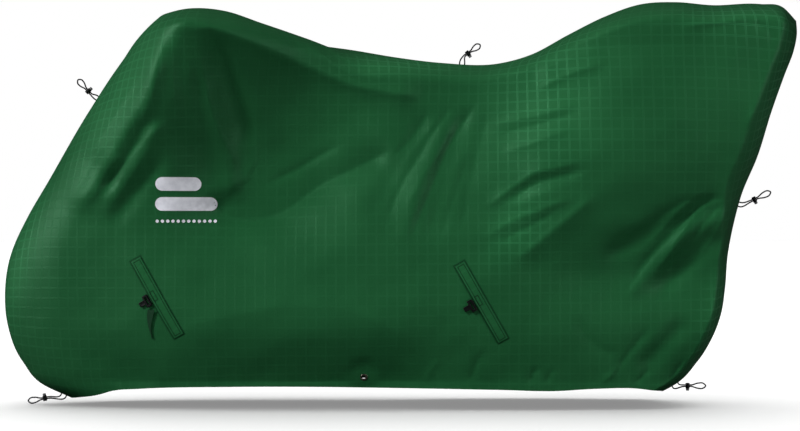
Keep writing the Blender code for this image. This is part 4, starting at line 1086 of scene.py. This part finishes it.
def tube(name, path, radius, sides, material):
    # a closed tube in the middle plane, with round ends
    steps = np.gradient(path, axis=0)
    steps /= np.linalg.norm(steps, axis=1, keepdims=True)
    normal = np.cross(steps, (0.0, 1.0, 0.0))
    angles = np.linspace(0, math.tau, sides + 1)
    around = np.cos(angles)[None, :, None] * np.array([0.0, 1.0, 0.0])
    around = around + np.sin(angles)[None, :, None] * normal[:, None]
    reach = np.append(0, np.cumsum(np.linalg.norm(np.diff(path, axis=0), axis=1)))
    rings, along = [path[:, None] + radius * around], [reach]
    for index, sign in ((0, -1), (-1, 1)):
        caps = []
        for turn in np.radians(cordLook["capAngles"]):
            centre = path[index] + sign * steps[index] * radius * math.sin(turn)
            caps.append(centre + radius * math.cos(turn) * around[index])
        caps = np.array(caps)
        rings = [caps[::-1]] + rings if sign < 0 else rings + [caps]
        held = [np.full(len(caps), reach[index])]
        along = held + along if sign < 0 else along + held
    rings, along = np.concatenate(rings), np.concatenate(along)
    mesh = bpy.data.meshes.new(name)
    work = bmesh.new()
    layer = work.loops.layers.uv.new("flat")
    grid = [[work.verts.new(p) for p in ring[:-1]] for ring in rings]
    for i in range(len(grid) - 1):
        for j in range(sides):
            k = (j + 1) % sides
            face = work.faces.new([grid[i][j], grid[i][k], grid[i + 1][k], grid[i + 1][j]])
            spots = [(i, j), (i, j + 1), (i + 1, j + 1), (i + 1, j)]
            for corner, (m, n) in zip(face.loops, spots):
                corner[layer].uv = (n / sides, along[m])
    for ring in (grid[0][::-1], grid[-1]):
        work.faces.new(ring)
    turnOutward(work, mesh)
    return newObject(name, mesh, material)


def selectOnly(obj):
    bpy.ops.object.select_all(action="DESELECT")
    obj.select_set(True)
    bpy.context.view_layer.objects.active = obj


def spun(name, profile, steps, material):
    # a profile of (radius, height) points spun around Z in edit mode
    mesh = bpy.data.meshes.new(name)
    edges = [(i, i + 1) for i in range(len(profile) - 1)]
    mesh.from_pydata([(radius, 0, height) for radius, height in profile], edges, [])
    obj = newObject(name, mesh, material)
    selectOnly(obj)
    bpy.ops.object.mode_set(mode="EDIT")
    bpy.ops.mesh.select_all(action="SELECT")
    bpy.ops.mesh.spin(steps=steps, angle=math.tau, center=(0, 0, 0), axis=(0, 0, 1))
    bpy.ops.mesh.select_all(action="SELECT")
    bpy.ops.mesh.remove_doubles(threshold=0.00001)
    bpy.ops.mesh.normals_make_consistent(inside=False)
    bpy.ops.object.mode_set(mode="OBJECT")
    bpy.ops.object.shade_smooth_by_angle(angle=math.radians(40))
    return obj


def block(centre, size):
    bpy.ops.mesh.primitive_cube_add(size=1, location=centre)
    obj = bpy.context.active_object
    obj.scale = size
    bpy.ops.object.transform_apply(location=True, rotation=False, scale=True)
    return obj


def cutOut(obj, cutter):
    boolean = obj.modifiers.new("cut", "BOOLEAN")
    boolean.operation = "DIFFERENCE"
    boolean.object = cutter
    selectOnly(obj)
    bpy.ops.object.modifier_apply(modifier="cut")
    bpy.data.objects.remove(cutter, do_unlink=True)


def copyOf(model, name, matrix):
    mesh = model.data.copy()
    mesh.name = name
    mesh.transform(matrix)
    obj = bpy.data.objects.new(name, mesh)
    bpy.context.scene.collection.objects.link(obj)
    return obj


def arc(centre, radius, fromAngle, toAngle, count):
    angles = [math.radians(fromAngle + (toAngle - fromAngle) * i / count) for i in range(count + 1)]
    return [(centre[0] + radius * math.cos(a), centre[1] + radius * math.sin(a)) for a in angles]


def lockModel():
    radius, half, edge, dish = lockLook["radius"], lockLook["length"] / 2, lockLook["edge"], lockLook["dish"]
    deep, (mouth, floor) = radius - lockLook["grooveDeep"], lockLook["grooveHalf"]
    profile = [(0, half - dish), (radius - 2 * edge, half - dish), (radius - 1.5 * edge, half)]
    profile += arc((radius - edge, half - edge), edge, 90, 0, 6)
    for level in lockLook["grooves"]:
        profile += [(radius, level + mouth), (deep, level + floor)]
        profile += [(deep, level - floor), (radius, level - mouth)]
    profile += arc((radius - edge, -half + edge), edge, 0, -90, 6) + [(0, -half)]
    body = spun("lock_model", profile, lockLook["steps"], blackPlastic)
    cutOut(body, block((0, 0, 0), (lockLook["slotWide"], 4 * radius, lockLook["slotLong"])))
    return body


def buttonModel():
    radius, edge = lockLook["buttonRadius"], lockLook["buttonEdge"]
    low = lockLook["length"] / 2 + shape["gap"]
    high = low + lockLook["buttonLength"]
    share, shallow, deep = lockLook["buttonDish"]
    profile = [(0, high - deep), (radius * share, high - shallow)]
    profile += arc((radius - edge, high - edge), edge, 90, 0, 6) + [(radius, low), (0, low)]
    return spun("button_model", profile, lockLook["steps"], greyPlastic)


def placing(across, upward, centre):
    # turns a model's X to across and its Y to upward, and sets it down at centre
    x = Vector(across).normalized()
    z = x.cross(Vector(upward)).normalized()
    matrix = Matrix((x, z.cross(x), z)).transposed().to_4x4()
    matrix.translation = Vector(centre)
    return matrix


def makeLoops():
    lock, button = lockModel(), buttonModel()
    for loop in loops:
        name = loop.name
        route, centre, ahead = loopRoute(loop)
        path = smoothRoute(route, cordLook["points"])
        cord = tube(f"drawcord_{name}", path, cordLook["radius"], cordLook["sides"], elasticMaterial)
        matrix = placing((0, 1, 0), ahead, centre)
        body = ride(copyOf(lock, f"toggle_{name}", matrix), "lock_plastic", f"cord_lock_{name}")
        cap = copyOf(button, f"toggle_button_{name}", matrix)
        ride(cap, "button_plastic", f"lock_button_{name}")
        ride(cord, "elastic", f"cord_loop_{name}")
    for model in (lock, button):
        bpy.data.objects.remove(model, do_unlink=True)


makeLoops()

# cells at the front turn, between the turns and at the rear turn, then the same from hem to top
grids = {
    "near": (24, 250, 22, 8, 132, 20),
    "far": (14, 130, 12, 5, 74, 12),
    "flat": (6, 46, 5, 2, 26, 6),
}
turns = {"front": 0.068, "rear": 0.032, "hem": 0.02, "top": 0.06}  # as shares of the side


def shares(counts):
    # columns and rows of a side's grid
    front, along, rear, low, up, top = counts
    columns = graded(turns["front"], front, along, turns["rear"], rear)
    return columns, graded(turns["hem"], low, up, turns["top"], top)


def clothNormals(s, t, points):
    normals = np.cross(np.gradient(points, axis=1), np.gradient(points, axis=0))
    normals /= np.linalg.norm(normals, axis=-1, keepdims=True)
    onSeam = (s == 0) | (s == 1) | (t == 1)
    return np.where(onSeam[..., None], seamOutward(s, t), normals)


def spreadFlat(side):
    # lays the cloth flat: each edge of a coarse net keeps its length, as far as all can
    columns, rows = shares(grids["flat"])
    s, t = np.meshgrid(columns, rows)
    small, steepest = 1e-4, 8
    along, height, out = clothOut(s, t, side, plain=True)
    points = toWorld(along, height, out)
    rates = []
    for stepS, stepT in ((small, 0), (0, small)):
        ahead = clothOut(np.clip(s + stepS, 0, 1), np.clip(t + stepT, 0, 1), side, plain=True)
        back = clothOut(np.clip(s - stepS, 0, 1), np.clip(t - stepT, 0, 1), side, plain=True)
        rates.append([a - b for a, b in zip(ahead, back)])
    (xs, zs, outS), (xt, zt, outT) = rates
    size = xs * zt - zs * xt
    slope = np.stack([(outS * zt - outT * zs) / size, (outT * xs - outS * xt) / size], axis=-1)
    steep = np.linalg.norm(slope, axis=-1, keepdims=True)
    unit = slope / np.maximum(steep, 1e-9)
    stretch = np.sqrt(1 + np.minimum(steep, steepest) ** 2) - 1
    flatPlace = np.stack([along, height], axis=-1)
    index = np.arange(s.size).reshape(s.shape)
    matrix = np.zeros((s.size, s.size))
    aim = np.zeros((s.size, 2))
    for cut in ((slice(None), slice(0, -1)), (slice(0, -1), slice(None))):
        other = tuple(slice(1, None) if part == slice(0, -1) else part for part in cut)
        step = flatPlace[other] - flatPlace[cut]
        turned = step.copy()
        for end in (cut, other):
            turned += 0.5 * stretch[end] * unit[end] * (unit[end] * step).sum(axis=-1, keepdims=True)
        length = np.linalg.norm(points[other] - points[cut], axis=-1, keepdims=True)
        turned *= length / np.maximum(np.linalg.norm(turned, axis=-1, keepdims=True), 1e-9)
        weight = (1 / length[..., 0]).ravel()
        a, b, turned = index[cut].ravel(), index[other].ravel(), turned.reshape(-1, 2)
        np.add.at(matrix, (a, a), weight)
        np.add.at(matrix, (b, b), weight)
        np.add.at(matrix, (a, b), -weight)
        np.add.at(matrix, (b, a), -weight)
        np.add.at(aim, b, weight[:, None] * turned)
        np.add.at(aim, a, -weight[:, None] * turned)
    matrix[0, 0] += 1
    flat = np.linalg.solve(matrix, aim).reshape(*s.shape, 2)
    flat -= flat.min(axis=(0, 1))
    return columns, rows, flat


def makeSide(side):
    counts = grids[side]
    columns, rows = shares(counts)
    s, t = np.meshgrid(columns, rows)
    outer = toWorld(*clothOut(s, t, side))
    inner = outer - shape["thickness"] * clothNormals(s, t, outer)
    netColumns, netRows, net = spreadFlat(side)
    flat = cubic(netRows, net, rows).transpose(1, 0, 2)
    flat = cubic(netColumns, flat, columns).transpose(1, 0, 2)
    hand, material = 1, coverMaterial
    if side == "far":
        outer, inner, flat = outer * (1, -1, 1), inner * (1, -1, 1), flat * (-1, 1)
        hand, material = -1, farMaterial
    piece = twoSided(f"cover_{side}", outer, inner, flat, material, side == "far")
    x, y, z = toWorld(eyelet["along"], eyelet["height"], eyeletOut())
    bpy.ops.mesh.primitive_cylinder_add(
        vertices=eyelet["cutSteps"], radius=eyelet["cut"], depth=eyelet["cutDepth"],
        location=(x, hand * y, z),
        rotation=(-hand * (math.pi / 2 - math.atan(eyelet["lean"])), 0, 0),
    )
    cutOut(piece, bpy.context.active_object)
    ride(piece, "cloth", f"side_panel_{side}", f"hem_band_{side}")
    return piece


nearCover = makeSide("near")
makeSide("far")
nearTree = BVHTree.FromPolygons(
    [vertex.co for vertex in nearCover.data.vertices],
    [list(polygon.vertices) for polygon in nearCover.data.polygons],
)


def clothDepth(x, z):
    # where a line of sight along Y meets the near side's outer face
    hit, normal, _, _ = nearTree.ray_cast(Vector((x, -1, z)), Vector((0, 1, 0)))
    return hit.y, max(0.5, abs(normal.y))


def onCloth(points, off):
    # a grid of points set to stand off the cloth by the given distances
    placed = points.copy()
    for spot in np.ndindex(points.shape[:-1]):
        y, facing = clothDepth(points[spot][0], points[spot][2])
        placed[spot][1] = y - np.broadcast_to(off, points.shape[:-1])[spot] / facing
    return placed


def flapRelief(length, width):
    # how thick the flap is, sewn down along a line all round and in the box at its middle
    edge = np.minimum(flapLook["length"] / 2 - np.abs(length), flapLook["width"] / 2 - np.abs(width))
    full = flapLook["thickness"] + flapLook["fullness"] * roundOver(edge, flapLook["edgeReach"])
    sewn = smoothRidge(edge - flapLook["stitchInset"], flapLook["stitchReach"])
    boxLong, boxWide = flapLook["tackLength"] / 2, flapLook["tackWidth"] / 2
    offLong, offWide = flapLook["tackOff"]
    box = np.maximum(np.abs(length - offLong) - boxLong, np.abs(width - offWide) - boxWide)
    tacked = smoothRidge(box, flapLook["tackReach"])
    return full - flapLook["stitchDepth"] * sewn - flapLook["tackDepth"] * tacked


def stitchRow(start, end):
    # centres and directions of the stitches from one point to another
    start, end = np.array(start), np.array(end)
    run = np.linalg.norm(end - start)
    count = max(2, round(run / flapLook["stitchPitch"]))
    at = (np.arange(count) + 0.5) / count
    return [(start + (end - start) * f, (end - start) / run) for f in at]


def flapStitches():
    inset = flapLook["stitchInset"]
    boxes = [
        (flapLook["length"] / 2 - inset, flapLook["width"] / 2 - inset, (0, 0)),
        (flapLook["tackLength"] / 2, flapLook["tackWidth"] / 2, flapLook["tackOff"]),
    ]
    rows = []
    for long, wide, (x, y) in boxes:
        corners = [(x - long, y - wide), (x + long, y - wide), (x + long, y + wide), (x - long, y + wide)]
        for a, b in zip(corners, corners[1:] + corners[:1]):
            rows += stitchRow(a, b)
    return rows


stitchLook = {
    "sides": 6,
    "rings": 5,
    "turns": (0.06, 0.88),  # where on its half circle it starts, and how much of it there is
    "sunk": 0.7,  # radii that its ends lie below the cloth's face
    "blunt": 0.6,
}


def addStitch(points, faces, centre, direction, outward):
    side = np.cross(direction, outward)
    base, sides, rings = len(points), stitchLook["sides"], stitchLook["rings"]
    half, radius = flapLook["stitchLength"] / 2, flapLook["stitchRadius"]
    first, span = stitchLook["turns"]
    for i in range(rings):
        turn = math.pi * (first + span * i / (rings - 1))
        middle = centre - direction * half * math.cos(turn)
        middle = middle + outward * radius * (math.sin(turn) - stitchLook["sunk"])
        for j in range(sides):
            angle = math.tau * j / sides
            ring = side * math.cos(angle) + outward * math.sin(angle)
            points.append(middle + ring * radius * math.sin(turn) ** stitchLook["blunt"])
    for start in range(base, base + (rings - 1) * sides, sides):
        for j in range(sides):
            k = (j + 1) % sides
            faces.append([start + j, start + k, start + sides + k, start + sides + j])
    faces.append([base + j for j in range(sides)][::-1])
    faces.append([base + (rings - 1) * sides + j for j in range(sides)])


def threads(name, stitches):
    points, faces = [], []
    for centre, direction, outward in stitches:
        addStitch(points, faces, centre, direction, outward)
    mesh = bpy.data.meshes.new(name)
    mesh.from_pydata([tuple(p) for p in points], [], faces)
    work = bmesh.new()
    work.from_mesh(mesh)
    turnOutward(work, mesh)
    return newObject(name, mesh, threadMaterial)


def smoothedDepth(centre, down, free, lengths, widths):
    # the cloth's depth under a flap, without its small creases
    countLong, countWide = flapLook["net"]
    netLong = np.linspace(lengths[0], lengths[-1], countLong)
    netWide = np.linspace(widths[0], widths[-1], countWide)
    depths = np.zeros((countLong, countWide))
    for i, a in enumerate(netLong):
        for j, b in enumerate(netWide):
            point = centre + down * a + free * b
            depths[i, j] = clothDepth(point[0], point[2])[0]
    return cubic(netWide, cubic(netLong, depths, lengths).T, widths).T


def makeFlap(name, along, height):
    centre, down, free = flapFrame(along, height)
    cellsLong, cellsWide = flapLook["cells"]
    lengths = np.linspace(-0.5, 0.5, cellsLong + 1) * flapLook["length"]
    widths = np.linspace(-0.5, 0.5, cellsWide + 1) * flapLook["width"]
    length, width = np.meshgrid(lengths, widths, indexing="ij")
    points = centre + down * length[..., None] + free * width[..., None]
    bulge = np.sin(math.pi * (length / flapLook["length"] + 0.5))
    off = flapLook["off"] + flapLook["lift"] * bulge * (width / flapLook["width"] + 0.5) ** 2
    smooth = smoothedDepth(centre, down, free, lengths, widths)
    depth = np.minimum(onCloth(points, 0.0)[..., 1], smooth)
    inner, outer = points.copy(), points.copy()
    inner[..., 1] = depth - off
    outer[..., 1] = depth - off - flapRelief(length, width)
    flat = np.stack([length, width], axis=-1)
    piece = twoSided(f"flap_{name}", outer, inner, flat, flapMaterial)
    piece.data.flip_normals()
    ride(piece, "cloth", f"strap_flap_{name}")
    outward = np.array([0.0, -1.0, 0.0])
    stitches = []
    for (a, b), direction in flapStitches():
        i = int(np.clip(round((a / flapLook["length"] + 0.5) * cellsLong), 0, cellsLong))
        j = int(np.clip(round((b / flapLook["width"] + 0.5) * cellsWide), 0, cellsWide))
        middle = centre + down * a + free * b
        middle[1] = outer[i, j, 1]
        stitches.append((middle, down * direction[0] + free * direction[1], outward))
    ride(threads(f"flap_stitches_{name}", stitches), "cloth")


strapLook = {
    "width": 0.020,
    "thickness": 0.0016,
    "start": 0.006,
    "offset": -0.005,  # along the flap
    "off": 0.0005,
    "tailLength": 0.074,
    "tailWidth": 0.0155,
    "tailTip": 0.0025,
    "tailStart": 0.002,
    "tailDrop": 0.0085,
    "tailSway": 0.005,
    "tailOff": 0.0045,
    "tailSettle": 0.6,  # how much nearer to the cloth its tip is, as a share
    "tailTwist": 0.001,
    "tailTaper": 1.1,
    "tailArea": 0.62,  # share of its length times its width
}
buckleLook = {
    "start": 0.0185,
    "barLong": 0.032,
    "barWide": 0.014,
    "slotLong": 0.022,
    "slotWide": 0.004,
    "tongueLong": 0.016,
    "tongueWide": 0.0125,
    "thickness": 0.0055,
    "shoulder": 0.8,  # share of the tongue's length before it narrows
    "tip": (0.9, 1, 0.8),
    "recess": (0.0022, -0.0008),  # how far in from the tongue's edges, and how deep
    "edge": 0.00072,
    "edgeAngle": math.radians(35),
}


def makeStrap(name, along, height):
    centre, down, free = flapFrame(along, height)
    end = buckleLook["start"] - shape["gap"]
    lengths = np.linspace(strapLook["start"], end, 9)
    widths = strapLook["offset"] + strapLook["width"] * np.linspace(-0.5, 0.5, 17)
    length, width = np.meshgrid(lengths, widths, indexing="ij")
    points = centre + free * length[..., None] + down * width[..., None]
    inner = onCloth(points, strapLook["off"])
    outer = onCloth(points, strapLook["off"] + strapLook["thickness"])
    flat = np.stack([width, length], axis=-1)
    piece = twoSided(f"webbing_{name}", outer, inner, flat, webbingMaterial)
    ride(piece, "webbing", f"strap_{name}")


def makeTail():
    centre, down, free = flapFrame(*flaps[0][1:])
    barEnd = centre + free * (buckleLook["start"] + buckleLook["barWide"] / 2)
    barEnd = barEnd + down * (strapLook["offset"] + buckleLook["barLong"] / 2)
    f, side = np.meshgrid(np.linspace(0, 1, 41), np.linspace(-1, 1, 9), indexing="ij")
    half = (strapLook["tailWidth"] * (1 - ease(f * strapLook["tailTaper"])) + strapLook["tailTip"]) / 2
    sway = strapLook["tailStart"] - strapLook["tailSway"] * np.sin(math.pi * f)
    drop = strapLook["tailLength"] * f
    high = barEnd[2] - strapLook["tailDrop"] - drop
    points = np.stack([barEnd[0] + sway + side * half, np.full_like(f, barEnd[1]), high], axis=-1)
    off = strapLook["tailOff"] * (1 - strapLook["tailSettle"] * f) + strapLook["tailTwist"] * side
    inner, outer = onCloth(points, off), onCloth(points, off + strapLook["thickness"])
    flat = np.stack([side * half, drop], axis=-1)
    piece = twoSided("webbing_tail", outer, inner, flat, webbingMaterial, True)
    ride(piece, "webbing", "strap_tail")


def selectFaces(obj, test):
    bpy.ops.object.mode_set(mode="OBJECT")
    for polygon in obj.data.polygons:
        polygon.select = bool(test(polygon.center, polygon.normal))
    bpy.ops.object.mode_set(mode="EDIT")
    bpy.ops.mesh.select_mode(type="FACE")


def buckleModel():
    # X across the strap, Y to the tongue's tip, Z out
    wide, thick, edgeAngle = buckleLook["barWide"], buckleLook["thickness"], buckleLook["edgeAngle"]
    long, half = buckleLook["tongueLong"], buckleLook["tongueWide"] / 2
    shoulder = long * buckleLook["shoulder"]
    obj = block((0, wide / 2, 0), (buckleLook["barLong"], wide, thick))
    obj.name = "buckle_model"
    bpy.ops.object.mode_set(mode="EDIT")
    for x in (-half, half):
        bpy.ops.mesh.select_all(action="SELECT")
        bpy.ops.mesh.bisect(plane_co=(x, 0, 0), plane_no=(1, 0, 0))
    selectFaces(obj, lambda centre, normal: normal.y > 0.9 and abs(centre.x) < half)
    for step in (shoulder, long - shoulder):
        bpy.ops.mesh.extrude_region_move(TRANSFORM_OT_translate={"value": (0, step, 0)})
    bpy.ops.transform.resize(value=buckleLook["tip"])
    selectFaces(obj, lambda centre, normal: abs(normal.z) > 0.9 and wide < centre.y < wide + shoulder)
    inward, deep = buckleLook["recess"]
    bpy.ops.mesh.inset(thickness=inward, depth=deep)
    bpy.ops.object.mode_set(mode="OBJECT")
    cutOut(obj, block((0, wide / 2, 0), (buckleLook["slotLong"], buckleLook["slotWide"], thick * 3)))
    bevel = obj.modifiers.new("edges", "BEVEL")
    bevel.width, bevel.segments, bevel.angle_limit = buckleLook["edge"], 3, edgeAngle
    bpy.ops.object.modifier_apply(modifier="edges")
    bpy.ops.object.shade_smooth_by_angle(angle=edgeAngle)
    obj.data.materials.append(blackPlastic)
    return obj


def makeBuckles():
    model = buckleModel()
    for name, along, height in flaps:
        centre, down, free = flapFrame(along, height)
        base = centre + free * buckleLook["start"] + down * strapLook["offset"]
        reach = buckleLook["barWide"] + buckleLook["tongueLong"]
        halfBar = buckleLook["barLong"] / 2
        spots = np.array([base, base + free * reach, base - down * halfBar, base + down * halfBar])
        start, tip, high, low = (Vector(p) for p in onCloth(spots, 0.0))
        matrix = placing(high - low, tip - start, start)
        out = matrix.to_3x3() @ Vector((0, 0, 1))
        matrix.translation = start + out * (strapLook["off"] * 2 + buckleLook["thickness"] / 2)
        ride(copyOf(model, f"clip_{name}", matrix), "buckle_plastic", f"buckle_{name}")
    bpy.data.objects.remove(model, do_unlink=True)


for flapName, flapAlong, flapHigh in flaps:
    makeFlap(flapName, flapAlong, flapHigh)
    makeStrap(flapName, flapAlong, flapHigh)
makeBuckles()
makeTail()
print("flaps, webbing and buckles made")


def makeEyelets():
    out = eyeletOut() + shape["gap"] / 2
    inside = shape["cadThickness"] / 2 + shape["gap"]
    flange, hole, roll = eyelet["flange"], eyelet["hole"], eyelet["thickness"] / 2
    profile = [(eyelet["barrel"], inside), (flange - roll, inside)]
    profile += arc((flange - roll, inside + roll), roll, -90, 90, 8)
    profile += [((flange + hole) / 2, inside + eyelet["thickness"] * eyelet["dished"])]
    profile += arc((hole + roll, inside + roll), roll, 90, 180, 6)
    profile += [(r, -z) for r, z in profile[::-1]]
    profile.append(profile[0])
    model = spun("eyelet_model", profile, eyelet["steps"], brassMaterial)
    lean = math.atan(eyelet["lean"])
    for side, sign in (("near", -1), ("far", 1)):
        x, _, z = toWorld(eyelet["along"], eyelet["height"], out)
        inward = Vector((0, -sign * math.cos(lean), math.sin(lean)))
        matrix = Matrix.Translation(Vector((x, sign * out, z)) + inward * shape["cadThickness"] / 2)
        matrix = matrix @ Matrix.Rotation(sign * (math.pi / 2 - lean), 4, "X")
        ride(copyOf(model, f"grommet_{side}", matrix), "eyelet_metal", f"eyelet_{side}")
    bpy.data.objects.remove(model, do_unlink=True)


makeEyelets()
print("eyelets made")

# plain reflective marks on the near side: each bar's middle, along and in height, and its size
markLook = {
    "off": 0.0003,
    "thickness": 0.00025,
    "cellLong": 0.0012,
    "cellHigh": 0.0015,
    "leastCells": (10, 8),
    "endAngle": 0.02,
}
bars = [(-0.5880, 0.5830, 0.118, 0.036), (-0.5670, 0.5300, 0.159, 0.036)]
dots = {"start": -0.643, "end": -0.491, "height": 0.4845, "count": 12, "size": 0.0085}


def makeMark(name, along, height, long, high):
    # a bar with round ends, or a dot where it is as high as it is long
    radius, half = high / 2, long / 2
    leastLong, leastHigh = markLook["leastCells"]
    cellsLong = max(leastLong, int(long / markLook["cellLong"]))
    cellsHigh = max(leastHigh, int(high / markLook["cellHigh"]))
    end = markLook["endAngle"]
    x = -np.cos(np.linspace(end, math.pi - end, cellsLong + 1)) * half
    past = np.maximum(np.abs(x) - (half - radius), 0)
    tall = np.sqrt(np.maximum(radius**2 - past**2, 0))
    up = np.linspace(-1, 1, cellsHigh + 1)
    heights = height + up[:, None] * tall[None, :]
    places = toWorld(along + x[None, :], heights, float(openWidth(along, height)))
    inner = onCloth(places, markLook["off"])
    outer = onCloth(places, markLook["off"] + markLook["thickness"])
    flat = np.stack([places[..., 0], places[..., 2]], axis=-1)
    return ride(twoSided(name, outer, inner, flat, printMaterial), None)


for number, bar in enumerate(bars):
    makeMark(f"reflective_bar_{number + 1}", *bar)
for number in range(dots["count"]):
    share = number / (dots["count"] - 1)
    spot = dots["start"] + share * (dots["end"] - dots["start"])
    makeMark(f"reflective_dot_{number + 1:02d}", spot, dots["height"], dots["size"], dots["size"])
print("marks made")

stageLook = {
    "floor": 60.0,
    "seenColour": 0.72,  # of the floor to the camera, and its glow, so that its shadow stays pale
    "seenGlow": 0.26,
    "bounce": 0.50,
    "mirrored": (0.05, 0.12),  # share of floor and sky that shines back from the cloth
    "background": 1.0,
    "skyLow": 0.03,
    "skyHigh": 0.76,
    "skyRise": 1.5,
}
# the overhead lamp lights the floor alone, and the others everything but the floor
lights = {
    "key": {"from": (-0.82, -0.68, 0.78), "angle": 14, "power": 3.1},
    "fill": {"from": (0.95, -0.75, 0.25), "angle": 40, "power": 0.45},
    "overhead": {"from": (0.0, 0.25, 1.0), "angle": 70, "power": 2.6},
    "left sheen": {"from": (-0.90, -0.32, 0.40), "angle": 34, "power": 3.0},
    "right sheen": {"from": (0.90, -0.45, 0.10), "angle": 34, "power": 1.2},
}


def makeFloor():
    size, ground = stageLook["floor"], -view["originHeight"]
    bpy.ops.mesh.primitive_plane_add(size=size, location=(0, 0, ground))
    floor = bpy.context.active_object
    floor.name = "floor"
    material, tree, _ = newMaterial("floor")
    ray = addNode(tree, "ShaderNodeLightPath").outputs
    seen, bounce = ray["Is Camera Ray"], stageLook["bounce"]
    mirrored = bounce * (stageLook["mirrored"][0] - 1)
    bounce = calc(tree, "MULTIPLY_ADD", ray["Is Glossy Ray"], mirrored, bounce)
    shade = addNode(tree, "ShaderNodeMapRange", {0: seen, 3: bounce, 4: stageLook["seenColour"]}).outputs[0]
    diffuse = addNode(tree, "ShaderNodeBsdfDiffuse", {"Color": shade}).outputs[0]
    strength = calc(tree, "MULTIPLY", seen, stageLook["seenGlow"])
    glow = addNode(tree, "ShaderNodeEmission", {"Strength": strength}).outputs[0]
    total = addNode(tree, "ShaderNodeAddShader", {0: diffuse, 1: glow}).outputs[0]
    tree.nodes.remove(tree.nodes["Principled BSDF"])
    link(tree, total, tree.nodes["Material Output"].inputs["Surface"])
    floor.data.materials.append(material)
    return floor


def makeWorld():
    world = bpy.data.worlds.new("studio")
    bpy.context.scene.world = world
    world.use_nodes = True
    tree = world.node_tree
    ray = addNode(tree, "ShaderNodeLightPath").outputs
    place = addNode(tree, "ShaderNodeTexCoord").outputs["Generated"]
    upward = addNode(tree, "ShaderNodeSeparateXYZ", {0: place}).outputs[2]
    high = calc(tree, "POWER", calc(tree, "MAXIMUM", upward, 0.0), stageLook["skyRise"])
    sky = calc(tree, "MULTIPLY_ADD", high, stageLook["skyHigh"], stageLook["skyLow"])
    dimmer = calc(tree, "MULTIPLY_ADD", ray["Is Glossy Ray"], stageLook["mirrored"][1] - 1, 1.0)
    limits = {0: ray["Is Camera Ray"], 3: calc(tree, "MULTIPLY", sky, dimmer), 4: stageLook["background"]}
    strength = addNode(tree, "ShaderNodeMapRange", limits).outputs[0]
    link(tree, strength, tree.nodes["Background"].inputs["Strength"])
    tree.nodes["Background"].inputs["Color"].default_value = (1, 1, 1, 1)


def makeLights(floor):
    for name, setting in lights.items():
        data = bpy.data.lights.new(name, "SUN")
        data.energy, data.angle = setting["power"], math.radians(setting["angle"])
        lamp = bpy.data.objects.new(name, data)
        lamp.visible_diffuse = "sheen" not in name
        lamp.visible_glossy = name != "key"
        lamp.rotation_euler = Vector(setting["from"]).to_track_quat("Z", "Y").to_euler()
        bpy.context.scene.collection.objects.link(lamp)
        choice = bpy.data.collections.new(f"floor for {name}")
        choice.objects.link(floor)
        state = "INCLUDE" if name == "overhead" else "EXCLUDE"
        choice.collection_objects[0].light_linking.link_state = state
        lamp.light_linking.receiver_collection = choice


makeWorld()
makeLights(makeFloor())
bpy.context.scene.view_settings.view_transform = "Standard"
print("stage made")
